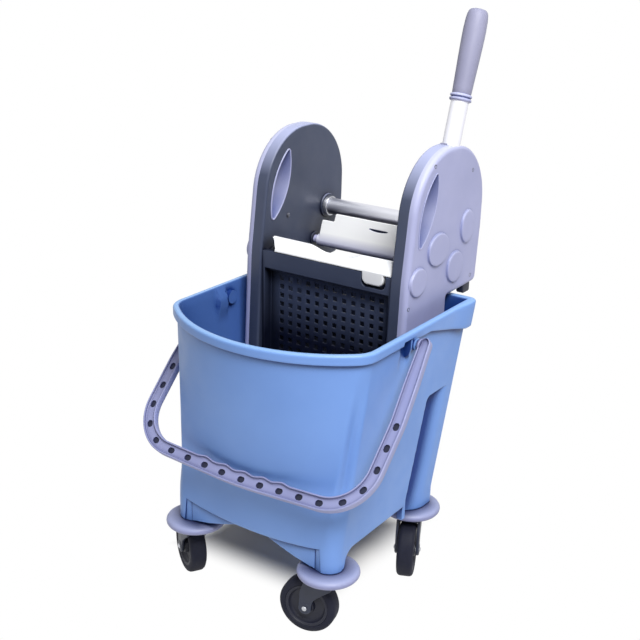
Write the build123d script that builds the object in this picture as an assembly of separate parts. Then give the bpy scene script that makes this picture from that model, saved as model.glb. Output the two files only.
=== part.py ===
from build123d import *
import math
import os

os.makedirs("parts", exist_ok=True)

# A single-bucket mop trolley with a lift-off jaw wringer. Millimetres throughout.
# +X is to the right of someone who faces the front, -Y is the front and +Z is up. z = 0 is the floor.
# While the pieces are drawn, y = 0 lies midway between the front and rear caster axes.
# move_back, worked out below, then puts the origin under the middle of the whole object.

# Bucket
leg_half_x = 113.0
leg_half_y = 107.0
leg_radius = 22.0
leg_inset = 0.5
leg_foot_z = 102.0
skirt_z = 128.0
floor_z = 150.0
rim_z = 406.5
wall = 3.2
floor_thickness = 3.5
floor_cove = 8.0
skirt_bow = 4.0
skirt_rear_radius = 8.0
rim_half_width = 154.0
rim_front_y = -160.5
rim_front_corner_y = -93.0
rim_rear_y = 168.0
rim_front_radius = 34.0
rim_rear_radius = 6.0
lip_reach = 5.5
lip_wall = 2.4
lip_depth = 13.5
lip_top_thickness = 4.0
lip_edge_radius = 1.6
apron_depth = 38.0
apron_front_y = 112.0
apron_rise = 36.0
recess_depth = 12.0
recess_tail_rise = 0.8
recess_top_z = 288.0
recess_top_y = 76.0
recess_foot_y = 47.0
flare_reach = 47.0
flare_radius = 24.0
gusset_reach = 58.0
gusset_drop = 20.0
gusset_thickness = 3.0
gusset_setback = 8.0

# Casters and bumper discs
wheel_diameter = 80.0
wheel_width = 24.0
tyre_thickness = 9.5
tyre_edge_radius = 5.0
core_web = 9.0
core_rim_depth = 5.0
hub_radius = 10.0
caster_trail = 26.0
stem_radius = 5.5
stem_grip = 38.0
stem_head_radius = 8.5
stem_head_thickness = 2.8
race_radius = 13.0
race_thickness = 2.0
crown_thickness = 6.0
crown_length = 14.0
fork_wall = 4.0
fork_side_gap = 1.2
fork_eye_radius = 9.0
axle_radius = 4.0
axle_head_radius = 6.5
axle_head_thickness = 2.5
swivel_gap = 0.4
bumper_radius = 42.0
bumper_thickness = 13.0
bumper_edge_radius = 5.0
caster_headings = {"front_right": 191.6, "front_left": 148.7, "rear_right": -66.0, "rear_left": -160.0}

# Bail. Its pivot lies bail_setback behind the front wall, taken at the height where the bail's bar hangs.
bail_setback = 156.8
bail_bar_drop = 190.66
bail_pivot_drop = 19.5
bail_hang_angle = 44.5
bail_pivot_half_x = 171.0
bail_half_width = 181.0
bail_shoulder = 112.0
bail_length = 243.0
bail_bow = 9.0
bail_corner_radius = 60.0
bail_shoulder_radius = 200.0
bail_bow_radius = 700.0
bail_band = 19.0
bail_depth = 11.0
bail_lip = 2.6
bail_web = 4.0
bail_hole_width = 8.0
bail_hole_length = 12.5
bail_hole_pitch = 31.0
bail_front_holes = 9
bail_arm_holes = 5
bail_pin_radius = 4.5
bail_boss_radius = 8.5
bail_lug_radius = 9.0
bail_lug_reach = 160.0

# Wringer housings. Rises and drops here and below are measured from the rim, which the wringer hangs on,
# and so is the second number of each slot and screw point.
# Leads are measured forward from the front jaw's axis.
frame_inner_x = 105.0
frame_depth = 19.0
cover_depth = 8.0
housing_wall = 2.4
housing_drop = 106.5
housing_foot_lead = 34.0
housing_mid_lead = 26.5
housing_mid_above_jaw = 7.0
housing_top_lead = 4.0
housing_rear_y = 233.5
housing_rear_foot_y = 226.0
housing_inside_rear_y = 141.0
housing_rear_mid_rise = 93.5
housing_rise = 214.5
housing_foot_radius = 8.0
housing_front_radius = 300.0
housing_top_radius = 92.0
housing_rear_radius = 200.0
housing_rim_gap = 3.5
cover_edge_radius = 4.5
slot_top = (95.0, 188.5)
slot_side = (59.0, 137.5)
slot_foot = (56.0, 91.5)
slot_inner = (93.0, 125.5)
slot_end_radius = 4.0
post_radius = 4.5
screw_radius = 2.0
screw_head_radius = 4.0
screw_head_thickness = 2.0
screw_length = 14.0
bulge_height = 3.0
lever_bulge_radius = 24.0
jaw_bulge_radius = 19.0
tie_bulge_radius = 21.0
screw_spots = [(88.0, 195.5), (207.0, 20.5), (36.0, 15.5), (128.0, -94.5)]

# Wringer mechanism
lever_pivot_y = 109.0
lever_pivot_rise = 80.5
gear_module = 2.5
sector_teeth = 32
pinion_teeth = 20
idler_teeth = 16
pressure_angle = 25.0
tooth_addendum = 0.8
tooth_dedendum = 1.05
tooth_backlash = 0.35
gear_thickness = 5.0
gear_plane_gap = 0.8
sector_end_margin = 9.0
pinion_end_margin = 12.0
gear_side_gap = 1.6
jaw_half_spacing = 52.0
lever_lean = 17.7
lever_travel = 72.0
slot_margin = 7.0
pivot_pin_radius = 5.0
pivot_boss_radius = 9.0
running_gap = 0.06
hub_arm_width = 24.0
hub_arm_thickness = 10.0
lever_tube_start = 138.5
lever_tube_radius = 11.0
lever_tube_wall = 1.5
spigot_length = 30.0
grip_start = 206.0
grip_end = 318.0
grip_foot_radius = 12.6
grip_top_radius = 15.0
grip_end_wall = 8.0
collar_radius = 15.0
collar_length = 9.0
spring_coil_thickness = 3.0
spring_length = 7.0

# Jaws
jaw_half_width = 97.0
rear_jaw_length = 42.0
front_jaw_length = 30.0
jaw_thickness = 6.0
jaw_roll_radius = 7.0
journal_radius = 6.0
rear_jaw_lean = 16.0
front_jaw_lean = 15.0
jaw_flange_thickness = 3.0
jaw_flange_gap = 0.5
handle_notch_width = 64.0
handle_notch_depth = 6.3
corner_notch_width = 22.0
corner_notch_depth = 12.0
tab_left_x = 62.0
tab_width = 31.0
tab_setback = 1.0
tab_corner_radius = 4.0
bush_radius = 9.0
bush_flange_radius = 11.0
bush_flange_thickness = 2.0

# Cross tube
tie_y = 192.0
tie_rise = 86.5
tie_radius = 12.0
tie_wall = 1.5
tie_flange_radius = 18.0
tie_flange_thickness = 3.0
tie_cup_radius = 15.0
tie_cup_length = 6.0
tie_spigot_radius = 10.0

# Wringer panels
bar_lead = 23.0
bar_depth = 11.0
bar_rise = 53.0
bar_height = 25.0
grille_setback = 16.0
grille_thickness = 3.0
roof_drop = 5.0
panel_flange = 3.5
grille_hole = 6.6
grille_pitch_x = 15.0
grille_pitch_z = 13.0
grille_columns = 12
grille_rows = 9
grille_first_row = 15.5
bar_notch_gap = 3.0
bar_notch_depth = 19.0
bar_notch_radius = 8.0
rear_panel_thickness = 3.5
hook_gap = 6.0
hook_drop = 22.0
rim_rest_gap = 0.2
sieve_thickness = 3.0
sieve_rows = 5
sieve_pitch_y = 17.0

# Heights and places worked out from the sizes above
bumper_foot_z = leg_foot_z - bumper_thickness
crown_top_z = bumper_foot_z - race_thickness - swivel_gap
crown_foot_z = crown_top_z - crown_thickness
axle_z = wheel_diameter / 2
fork_inner = wheel_width / 2 + fork_side_gap
fork_outer = fork_inner + fork_wall
lip_foot_z = rim_z - lip_depth
bail_pivot_z = rim_z - bail_pivot_drop
housing_foot_z = rim_z - housing_drop
housing_rear_mid_z = rim_z + housing_rear_mid_rise
housing_top_z = rim_z + housing_rise
lever_pivot_z = rim_z + lever_pivot_rise
tie_z = rim_z + tie_rise
bar_top_z = rim_z + bar_rise
screw_places = [(y, rim_z + rise) for y, rise in screw_spots]
lip_under_z = rim_z - lip_top_thickness
skirt_half_width = leg_half_x + leg_radius
skirt_rear_y = leg_half_y + leg_radius
skirt_front_y = -leg_half_y - leg_radius - skirt_bow
bail_wall_share = (rim_z - bail_bar_drop - skirt_z) / (lip_under_z - skirt_z)
bail_pivot_y = skirt_front_y + bail_wall_share * (rim_front_y - skirt_front_y) + bail_setback
cover_inner_x = frame_inner_x + frame_depth
cover_outer_x = cover_inner_x + cover_depth
cavity_start_x = frame_inner_x + housing_wall
cavity_end_x = cover_outer_x - housing_wall
lever_mid_x = (cavity_start_x + cavity_end_x) / 2
gear_start_x = cavity_start_x + gear_side_gap
sector_radius = gear_module * sector_teeth / 2
pinion_radius = gear_module * pinion_teeth / 2
idler_radius = gear_module * idler_teeth / 2
jaw_drop = math.sqrt((sector_radius + pinion_radius) ** 2 - jaw_half_spacing ** 2)
jaw_pivot_z = lever_pivot_z - jaw_drop
rear_jaw_y = lever_pivot_y + jaw_half_spacing
front_jaw_y = lever_pivot_y - jaw_half_spacing
housing_front_foot_y = front_jaw_y - housing_foot_lead
housing_front_mid_y = front_jaw_y - housing_mid_lead
housing_front_mid_z = jaw_pivot_z + housing_mid_above_jaw
housing_front_top_y = front_jaw_y - housing_top_lead
bar_front_y = front_jaw_y - bar_lead
shelf_foot_z = rim_z + rim_rest_gap
overhang_z = rim_z + housing_rim_gap
rim_outer_rear_y = rim_rear_y + lip_reach
move_back = -(rim_front_y - lip_reach + housing_rear_y) / 2
near_gear_x = (gear_start_x, gear_start_x + gear_thickness)
far_gear_x = (near_gear_x[1] + gear_plane_gap, near_gear_x[1] + gear_plane_gap + gear_thickness)
lever_centre = (lever_pivot_y, lever_pivot_z)
rear_centre = (rear_jaw_y, jaw_pivot_z)
front_centre = (front_jaw_y, jaw_pivot_z)
jaw_travel = lever_travel * sector_teeth / pinion_teeth
hub_arm_x = (near_gear_x[0], near_gear_x[0] + hub_arm_thickness)
hub_end_x = cavity_end_x - gear_side_gap
bar_rear_y = bar_front_y + bar_depth
bar_foot_z = bar_top_z - bar_height
jaw_flange_foot_z = bar_top_z + jaw_flange_gap
jaw_flange_top_z = jaw_flange_foot_z + jaw_flange_thickness
grille_rear_y = bar_front_y + grille_setback + grille_thickness
shelf_top_z = shelf_foot_z + rear_panel_thickness

LOWEST = (Align.CENTER, Align.CENTER, Align.MIN)


def along_x(radius, start_x, end_x, y, z):
    """A round bar along X, from start_x to end_x."""
    bar = Cylinder(radius, abs(end_x - start_x), align=LOWEST)
    return Pos(min(start_x, end_x), y, z) * (Rot(0, 90, 0) * bar)


def upright(radius, foot_z, top_z, x, y):
    """A round bar along Z, from foot_z to top_z."""
    return Pos(x, y, foot_z) * Cylinder(radius, top_z - foot_z, align=LOWEST)


def block(x_range, y_range, z_range):
    """A plain box between three pairs of limits."""
    size = [high - low for low, high in (x_range, y_range, z_range)]
    middle = [(high + low) / 2 for low, high in (x_range, y_range, z_range)]
    return Pos(*middle) * Box(*size)


def side_slab(face, start_x, end_x):
    """A face drawn in the YZ plane, made solid from start_x to end_x."""
    return extrude(Plane.YZ.offset(start_x) * face, amount=end_x - start_x)


def flat_slab(face, foot_z, top_z):
    """A face drawn in the XY plane, made solid from foot_z to top_z."""
    return extrude(Plane.XY.offset(foot_z) * face, amount=top_z - foot_z)


def mirrored(shape):
    """The same shape on the other side of the middle plane."""
    return mirror(shape, about=Plane.YZ)


def write(name, shape):
    """Write one node, with the origin under the middle of the object."""
    export_step(Pos(0, move_back, 0) * shape, "parts/" + name + ".step")


# Bucket


def tub_outline(half_width, front_y, corner_y, rear_y, front_radius, rear_radius):
    """Plan outline of the tub: straight sides and rear, bowed front, rounded corners."""
    front = ThreePointArc((-half_width, corner_y), (0, front_y), (half_width, corner_y))
    right = Line((half_width, corner_y), (half_width, rear_y))
    rear = Line((half_width, rear_y), (-half_width, rear_y))
    left = Line((-half_width, rear_y), (-half_width, corner_y))
    face = make_face([front, right, rear, left])
    corners = face.vertices().sort_by(Axis.Y)
    face = fillet(corners[:2], front_radius)
    return fillet(face.vertices().filter_by(lambda v: abs(v.Y - rear_y) < 0.01), rear_radius)


def rim_outline():
    return tub_outline(rim_half_width, rim_front_y, rim_front_corner_y, rim_rear_y,
                       rim_front_radius, rim_rear_radius)


def skirt_outline():
    """Plan outline at the skirt, whose front corners are concentric with the legs."""
    bow_radius = (leg_half_x ** 2 + skirt_bow ** 2) / (2 * skirt_bow)
    fall = bow_radius - math.sqrt(bow_radius ** 2 - skirt_half_width ** 2)
    return tub_outline(skirt_half_width, skirt_front_y, skirt_front_y + fall, skirt_rear_y,
                       leg_radius, skirt_rear_radius)


def tub_solid(inset):
    """The tapered tub between the skirt and the rim, drawn in by inset."""
    low = offset(skirt_outline(), -inset) if inset else skirt_outline()
    high = offset(rim_outline(), -inset) if inset else rim_outline()
    return loft([Plane.XY.offset(skirt_z) * low, Plane.XY.offset(lip_under_z) * high])


def floor_edge():
    """The sloped band round the floor's edge, where the wall turns into the floor."""
    low = Plane.XY.offset(floor_z) * offset(skirt_outline(), -wall - floor_cove)
    high = Plane.XY.offset(floor_z + floor_cove) * offset(skirt_outline(), wall)
    around = flat_slab(offset(rim_outline(), wall), floor_z, floor_z + floor_cove)
    return around - loft([low, high], ruled=True)


def wall_x(z):
    """Half width of the tub's side wall at a height."""
    share = (z - skirt_z) / (lip_under_z - skirt_z)
    return skirt_half_width + share * (rim_half_width - skirt_half_width)


def recess_section(z, grow):
    """Plan section of the wedge that sets the rear leg column back from the side wall."""
    share = (z - skirt_z) / (recess_top_z - skirt_z)
    step_y = recess_foot_y + share * (recess_top_y - recess_foot_y) - grow
    tail_share = (z - skirt_z) / (lip_under_z - skirt_z)
    tail_y = leg_half_y + tail_share * (rim_rear_y - rim_rear_radius - leg_half_y)
    side = wall_x(z) - grow
    outside = rim_half_width + lip_reach
    points = [(outside, step_y), (side - recess_depth, step_y), (side + recess_tail_rise, tail_y),
              (outside, tail_y)]
    return Plane.XY.offset(z) * make_face(Polyline(*points, close=True))


def recess_wedge(grow):
    foot_z = skirt_z - 2 * wall
    return loft([recess_section(foot_z, grow), recess_section(recess_top_z + grow, grow)], ruled=True)


def rim_lip():
    """The turned-down lip round the rim, with the deep apron round the rear."""
    outer = offset(rim_outline(), lip_reach)
    inner = offset(rim_outline(), lip_reach - lip_wall)
    cap = flat_slab(outer, lip_under_z, rim_z)
    cap = fillet(cap.faces().sort_by(Axis.Z)[-1].edges(), lip_edge_radius)
    apron_foot_z = rim_z - apron_depth
    ring = flat_slab(outer, apron_foot_z, lip_under_z) - flat_slab(inner, apron_foot_z, lip_under_z)
    far = rim_rear_y + 2 * lip_reach
    near = rim_front_y - 2 * lip_reach
    keep = Polyline((near, lip_foot_z), (apron_front_y - apron_rise, lip_foot_z),
                    (apron_front_y, apron_foot_z), (far, apron_foot_z),
                    (far, rim_z), (near, rim_z), close=True)
    reach = rim_half_width + 2 * lip_reach
    return cap + (ring & side_slab(make_face(keep), -reach, reach))


def leg_places():
    return {"front_left": (-leg_half_x, -leg_half_y), "front_right": (leg_half_x, -leg_half_y),
            "rear_left": (-leg_half_x, leg_half_y), "rear_right": (leg_half_x, leg_half_y)}


def leg_flare():
    """The side wall's curved run down to a front leg."""
    start = -leg_half_y
    end = start + flare_reach
    foot = end - flare_radius
    low = skirt_z - flare_radius
    top = Line((start, skirt_z), (end, skirt_z))
    curve = CenterArc((end, low), flare_radius, 90, 90)
    rest = Polyline((foot, low), (foot, leg_foot_z), (start, leg_foot_z), (start, skirt_z))
    return side_slab(make_face([top, curve, rest]), skirt_half_width - wall, skirt_half_width)


def leg_gusset():
    """The web behind the front skirt that braces a front leg."""
    inner = leg_half_x - leg_radius / 2
    outer = inner - gusset_reach
    top = floor_z - floor_thickness / 2
    points = [(inner, top), (outer, top), (outer, skirt_z),
              (inner - gusset_reach / 3, skirt_z - 0.8 * gusset_drop), (inner, skirt_z - gusset_drop)]
    face = make_face(Polyline(*points, close=True))
    front = -leg_half_y - leg_radius + gusset_setback
    return extrude(Plane.XZ.offset(-front - gusset_thickness) * face, amount=gusset_thickness)


def bucket():
    cavity = tub_solid(wall) + flat_slab(offset(rim_outline(), -wall), lip_under_z, rim_z)
    shell = tub_solid(0) + rim_lip()
    for side in (1, -1):
        wedge = recess_wedge(0)
        inner_wedge = recess_wedge(wall)
        shell -= wedge if side > 0 else mirrored(wedge)
        cavity -= inner_wedge if side > 0 else mirrored(inner_wedge)
    slab = block((-rim_half_width, rim_half_width), (rim_front_y, rim_rear_y),
                 (floor_z - floor_thickness, floor_z))
    shell = shell - (cavity - slab - floor_edge())
    for x, y in leg_places().values():
        shell += upright(leg_radius - leg_inset, leg_foot_z, floor_z - floor_thickness, x, y)
    for piece in (leg_flare(), leg_gusset()):
        shell += piece
        shell += mirrored(piece)
    lug = along_x(bail_lug_radius, wall_x(bail_pivot_z) - wall, bail_lug_reach, bail_pivot_y, bail_pivot_z)
    shell += lug + mirrored(lug)
    for x, y in leg_places().values():
        shell -= upright(stem_radius, leg_foot_z, leg_foot_z + stem_grip, x, y)
    bore = along_x(bail_pin_radius, wall_x(bail_pivot_z), bail_lug_reach, bail_pivot_y, bail_pivot_z)
    return shell - bore - mirrored(bore)


# Casters


def at_caster(shape, place):
    """Turn a caster piece to its heading and put it under its leg."""
    x, y = leg_places()[place]
    return Pos(x, y, 0) * (Rot(0, 0, caster_headings[place]) * shape)


def bumper_disc():
    disc = upright(bumper_radius, bumper_foot_z, leg_foot_z, 0, 0)
    disc = fillet(disc.edges().filter_by(GeomType.CIRCLE), bumper_edge_radius)
    return disc - upright(stem_radius, bumper_foot_z, leg_foot_z, 0, 0)


def caster_stem():
    """The pin that grips the leg, with its race above the fork and its head below."""
    head_top = crown_foot_z - swivel_gap
    race = upright(race_radius, bumper_foot_z - race_thickness, bumper_foot_z, 0, 0)
    head = upright(stem_head_radius, head_top - stem_head_thickness, head_top, 0, 0)
    return upright(stem_radius, head_top - 1, leg_foot_z + stem_grip, 0, 0) + race + head


def caster_fork():
    crown = flat_slab(SlotCenterToCenter(crown_length, 2 * fork_outer), crown_foot_z, crown_top_z)
    crown = Pos(crown_length / 2, 0, 0) * crown
    eye = Pos(caster_trail, axle_z) * Circle(fork_eye_radius)
    shoulder = crown_length + fork_outer / 2
    arm = make_face(Polyline((-fork_outer / 3, crown_top_z), (shoulder, crown_top_z),
                             (caster_trail + fork_eye_radius, axle_z),
                             (caster_trail - fork_eye_radius, axle_z), close=True))
    legs = Part()
    for start in (fork_inner, -fork_outer):
        legs += extrude(Plane.XZ.offset(-start - fork_wall) * (arm + eye), amount=fork_wall)
    pivot = upright(stem_radius + running_gap, crown_foot_z, crown_top_z, 0, 0)
    axle = Pos(caster_trail, -fork_outer, axle_z) * (Rot(-90, 0, 0) * Cylinder(
        axle_radius, 2 * fork_outer, align=LOWEST))
    return crown + legs - pivot - axle


def across_wheel(radius, half_length):
    """A round bar along the axle line of a caster."""
    bar = Rot(90, 0, 0) * Cylinder(radius, 2 * half_length)
    return Pos(caster_trail, 0, axle_z) * bar


def caster_axle():
    rod = across_wheel(axle_radius, fork_outer + axle_head_thickness)
    heads = across_wheel(axle_head_radius, fork_outer + axle_head_thickness)
    return rod + (heads - across_wheel(axle_head_radius, fork_outer))


def caster_wheel():
    core_radius = wheel_diameter / 2 - tyre_thickness
    rim = across_wheel(core_radius, wheel_width / 2 - 1) - across_wheel(
        core_radius - core_rim_depth, wheel_width / 2)
    web = across_wheel(core_radius - core_rim_depth, core_web / 2)
    hub = across_wheel(hub_radius, wheel_width / 2)
    return rim + web + hub - across_wheel(axle_radius + running_gap, wheel_width)


def caster_tyre():
    tread = across_wheel(wheel_diameter / 2, wheel_width / 2)
    tread = fillet(tread.edges().filter_by(GeomType.CIRCLE), tyre_edge_radius)
    return tread - across_wheel(wheel_diameter / 2 - tyre_thickness, wheel_width)


# Bail


def bail_place():
    """Frame of the hanging bail: local x across, local y up along its arms, local z out of its face."""
    angle = math.radians(bail_hang_angle)
    out = (0, -math.cos(angle), math.sin(angle))
    return Plane(origin=(0, bail_pivot_y, bail_pivot_z), x_dir=(1, 0, 0), z_dir=out)


def bail_line():
    """The middle line of the bail, from the left pivot round to the right one, in its own plane."""
    low = bail_length - bail_bow
    right = [(bail_half_width, -low), (bail_half_width, -bail_shoulder), (bail_pivot_half_x, 0)]
    left = [(-x, y) for x, y in reversed(right)]
    turns = [bail_shoulder_radius, bail_corner_radius]
    return FilletPolyline(*left, (0, -bail_length), *right, radius=turns + [bail_bow_radius] + turns[::-1])


def bail_section(path):
    """The channel section: two side lips joined by a web."""
    half = bail_band / 2
    inner = half - bail_lip
    deep = bail_depth / 2
    web = bail_web / 2
    quarter = [(half, deep), (inner, deep), (inner, web), (-inner, web), (-inner, deep), (-half, deep)]
    points = quarter + [(-x, -y) for x, y in quarter]
    plane = Plane(origin=path @ 0, x_dir=(0, 0, 1), z_dir=path % 0)
    return plane * (Rot(0, 0, 90) * make_face(Polyline(*points, close=True)))


def bail():
    path = bail_line()
    strap = sweep(bail_section(path), path=path)
    holes = Part()
    middle = path.length / 2
    steps = range(-(bail_front_holes // 2) - bail_arm_holes, bail_front_holes // 2 + bail_arm_holes + 1)
    for step in steps:
        place = (middle + step * bail_hole_pitch) / path.length
        spot = path.position_at(place)
        along = path.tangent_at(place)
        hole = extrude(SlotOverall(bail_hole_length, bail_hole_width), amount=bail_depth, both=True)
        holes += Pos(spot.X, spot.Y, 0) * (Rot(0, 0, math.degrees(math.atan2(along.Y, along.X))) * hole)
    strap -= holes
    end = bail_band / 2
    for side in (1, -1):
        low = side * bail_pivot_half_x - end
        strap += Pos(low, 0, 0) * (Rot(0, 90, 0) * Cylinder(bail_boss_radius, bail_band, align=LOWEST))
    strap = bail_place() * strap
    for side in (1, -1):
        inner = side * (bail_pivot_half_x - end)
        outer = side * (bail_pivot_half_x + end)
        strap -= along_x(bail_pin_radius, inner, outer, bail_pivot_y, bail_pivot_z)
    return strap


def bail_pin(side):
    start = side * (wall_x(bail_pivot_z) + 1)
    end = side * (bail_pivot_half_x + bail_band / 2)
    grip = along_x(bail_pin_radius, side * bail_lug_reach, end, bail_pivot_y, bail_pivot_z)
    tail = along_x(bail_pin_radius - running_gap, start, side * bail_lug_reach, bail_pivot_y, bail_pivot_z)
    return grip + tail


# Wringer housings


def housing_outline():
    """Side outline of a housing: a tombstone whose rear foot is cut away above the rim."""
    edge = FilletPolyline(
        (housing_inside_rear_y, overhang_z), (housing_inside_rear_y, housing_foot_z),
        (housing_front_foot_y, housing_foot_z), (housing_front_mid_y, housing_front_mid_z),
        (housing_front_top_y, housing_top_z), (housing_rear_y, housing_top_z),
        (housing_rear_y, housing_rear_mid_z), (housing_rear_foot_y, overhang_z),
        radius=[housing_foot_radius, housing_foot_radius, housing_front_radius, housing_top_radius,
                housing_top_radius, housing_rear_radius])
    close = Line(edge @ 1, edge @ 0)
    return make_face([edge, close])


def hand_slot(grow):
    """The crescent hand slot, made larger all round by grow."""
    front = ThreePointArc(slot_top, slot_side, slot_foot)
    back = ThreePointArc(slot_foot, slot_inner, slot_top)
    face = Pos(0, rim_z) * make_face([front, back])
    face = fillet(face.vertices(), slot_end_radius)
    return offset(face, grow) if grow else face


def lever_sweep():
    """The room that the lever needs as it goes through the housing's edge."""
    start = lever_lean - slot_margin
    end = lever_lean + lever_travel + slot_margin
    near = lever_tube_start - 2 * lever_tube_radius
    far = lever_tube_start + 3 * lever_tube_radius
    span = end - start
    arc = CenterArc((lever_pivot_y, lever_pivot_z), far, 90 - end, span)
    back = CenterArc((lever_pivot_y, lever_pivot_z), near, 90 - end, span)
    face = make_face([arc, back, Line(arc @ 0, back @ 0), Line(arc @ 1, back @ 1)])
    return side_slab(face, cavity_start_x, cavity_end_x)


def idler_place():
    """Where the idler meshes with both the lever's sector and the front pinion."""
    reach = sector_radius + idler_radius
    other = idler_radius + pinion_radius
    span = sector_radius + pinion_radius
    along = (reach ** 2 - other ** 2 + span ** 2) / (2 * span)
    aside = math.sqrt(reach ** 2 - along ** 2)
    toward = (-jaw_half_spacing / span, -jaw_drop / span)
    return (lever_pivot_y + along * toward[0] - aside * toward[1],
            lever_pivot_z + along * toward[1] + aside * toward[0])


def tray(start_x, end_x, floor_start, floor_end):
    """A housing half: the outline's slab, hollowed but for its floor, with the hand slot's collar."""
    outline = housing_outline()
    half = side_slab(outline, start_x, end_x)
    half -= side_slab(offset(outline, -housing_wall), start_x, end_x)
    half += side_slab(outline, floor_start, floor_end)
    half += side_slab(hand_slot(housing_wall), start_x, end_x)
    return half - side_slab(hand_slot(0), start_x, end_x)


def side_frame(right):
    """The dark inner half of a housing, drawn on the right."""
    frame = tray(frame_inner_x, cover_inner_x, frame_inner_x, cavity_start_x)
    for y, z in screw_places:
        frame += along_x(post_radius, frame_inner_x, cover_inner_x, y, z)
        frame -= along_x(screw_radius, cover_inner_x - screw_length, cover_inner_x, y, z)
    for y in (front_jaw_y, rear_jaw_y):
        frame -= along_x(bush_radius, frame_inner_x, cavity_start_x, y, jaw_pivot_z)
    frame -= along_x(tie_spigot_radius, frame_inner_x, cavity_start_x, tie_y, tie_z)
    if right:
        frame -= lever_sweep()
        frame -= along_x(pivot_pin_radius, frame_inner_x, cavity_start_x, lever_pivot_y, lever_pivot_z)
        frame -= along_x(pivot_pin_radius, frame_inner_x, cavity_start_x, *idler_place())
    return frame


def side_cover(right):
    """The pale outer half of a housing, drawn on the right, with its round bulges."""
    cover = tray(cover_inner_x, cover_outer_x, cavity_end_x, cover_outer_x)
    cover = fillet(cover.faces().sort_by(Axis.X)[-1].outer_wire().edges(), cover_edge_radius)
    for y, z, radius in bulge_places():
        dome = along_x(radius, cover_outer_x - 1, cover_outer_x + bulge_height, y, z)
        cover += fillet(dome.edges().group_by(Axis.X)[-1], bulge_height)
    for y, z in screw_places:
        cover -= along_x(screw_radius, cover_inner_x, cover_outer_x, y, z)
        cover += along_x(post_radius, cover_inner_x, cover_outer_x, y, z) - along_x(
            screw_radius, cover_inner_x, cover_outer_x, y, z)
        cover -= along_x(screw_head_radius, cover_outer_x - screw_head_thickness, cover_outer_x, y, z)
    if right:
        cover -= lever_sweep()
        for y, z in ((lever_pivot_y, lever_pivot_z), idler_place()):
            cover -= along_x(pivot_pin_radius, cavity_end_x, cover_outer_x, y, z)
    return cover


def bulge_places():
    """Middle and radius of each round bulge, one over each axis of the mechanism."""
    return [(lever_pivot_y, lever_pivot_z, lever_bulge_radius), (front_jaw_y, jaw_pivot_z, jaw_bulge_radius),
            (rear_jaw_y, jaw_pivot_z, jaw_bulge_radius), (tie_y, tie_z, tie_bulge_radius)]


def cover_screws():
    screws = Part()
    for y, z in screw_places:
        screws += along_x(screw_radius, cover_outer_x - screw_length, cover_outer_x, y, z)
        screws += along_x(screw_head_radius, cover_outer_x - screw_head_thickness, cover_outer_x, y, z)
    return screws


# Gears


def involute_point(base_radius, radius):
    """Polar angle, in radians, of an involute at a radius."""
    roll = math.acos(base_radius / radius)
    return math.tan(roll) - roll


def gear_face(teeth, phase, span_start, span_end, centre):
    """A toothed wheel about centre, in the YZ plane.

    A tooth's middle lies at phase, and teeth stand only between span_start and span_end, in degrees.
    """
    pitch_radius = gear_module * teeth / 2
    base_radius = pitch_radius * math.cos(math.radians(pressure_angle))
    tip_radius = pitch_radius + tooth_addendum * gear_module
    root_radius = pitch_radius - tooth_dedendum * gear_module
    low_radius = max(root_radius, base_radius)
    half_pitch = math.pi / (2 * teeth) - tooth_backlash / (4 * pitch_radius)
    at_pitch = involute_point(base_radius, pitch_radius)
    step = 360 / teeth
    flank = []
    for share in (0, 0.5, 1):
        radius = low_radius + share * (tip_radius - low_radius)
        flank.append((radius, half_pitch + at_pitch - involute_point(base_radius, radius)))
    face = Circle(root_radius)
    count = int((span_end - span_start) / step)
    first = math.ceil((span_start - phase) / step)
    for index in range(first, first + count + 1):
        middle = math.radians(phase + index * step)
        rising = [(root_radius - 0.5, flank[0][1])] + flank
        points = [(r, middle - a) for r, a in rising] + [(r, middle + a) for r, a in reversed(rising)]
        corners = [(r * math.cos(a), r * math.sin(a)) for r, a in points]
        face += make_face(Polyline(*corners, close=True))
    return Pos(*centre) * face


def direction(start, end):
    return math.degrees(math.atan2(end[1] - start[1], end[0] - start[0]))


def meshing_phase(centre, teeth, phase, other_centre, other_teeth):
    """Phase of a wheel that meshes with one whose phase is known."""
    line = direction(centre, other_centre)
    past = (line - phase) % (360 / teeth)
    return line + 180 + 180 / other_teeth + past * teeth / other_teeth


def gear_phases():
    """Rest phases of the sector, the rear pinion, the idler and the front pinion."""
    sector = 0.0
    rear = meshing_phase(lever_centre, sector_teeth, sector, rear_centre, pinion_teeth)
    idler = meshing_phase(lever_centre, sector_teeth, sector, idler_place(), idler_teeth)
    front = meshing_phase(idler_place(), idler_teeth, idler, front_centre, pinion_teeth)
    return sector, rear, idler, front


def pie(centre, radius, start, end):
    """A slice of a disc, between two angles in degrees."""
    arc = CenterArc(centre, radius, start, end - start)
    return make_face([arc, Line(centre, arc @ 0), Line(arc @ 1, centre)])


def on_lever(shape):
    """Put a shape that was drawn along Z on the lever's leaning line."""
    return Pos(lever_mid_x, lever_pivot_y, lever_pivot_z) * (Rot(-lever_lean, 0, 0) * shape)


def lever_rod(radius, start, end):
    """A round bar on the lever's line, between two distances from its pivot."""
    return on_lever(upright(radius, start, end, 0, 0))


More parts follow.
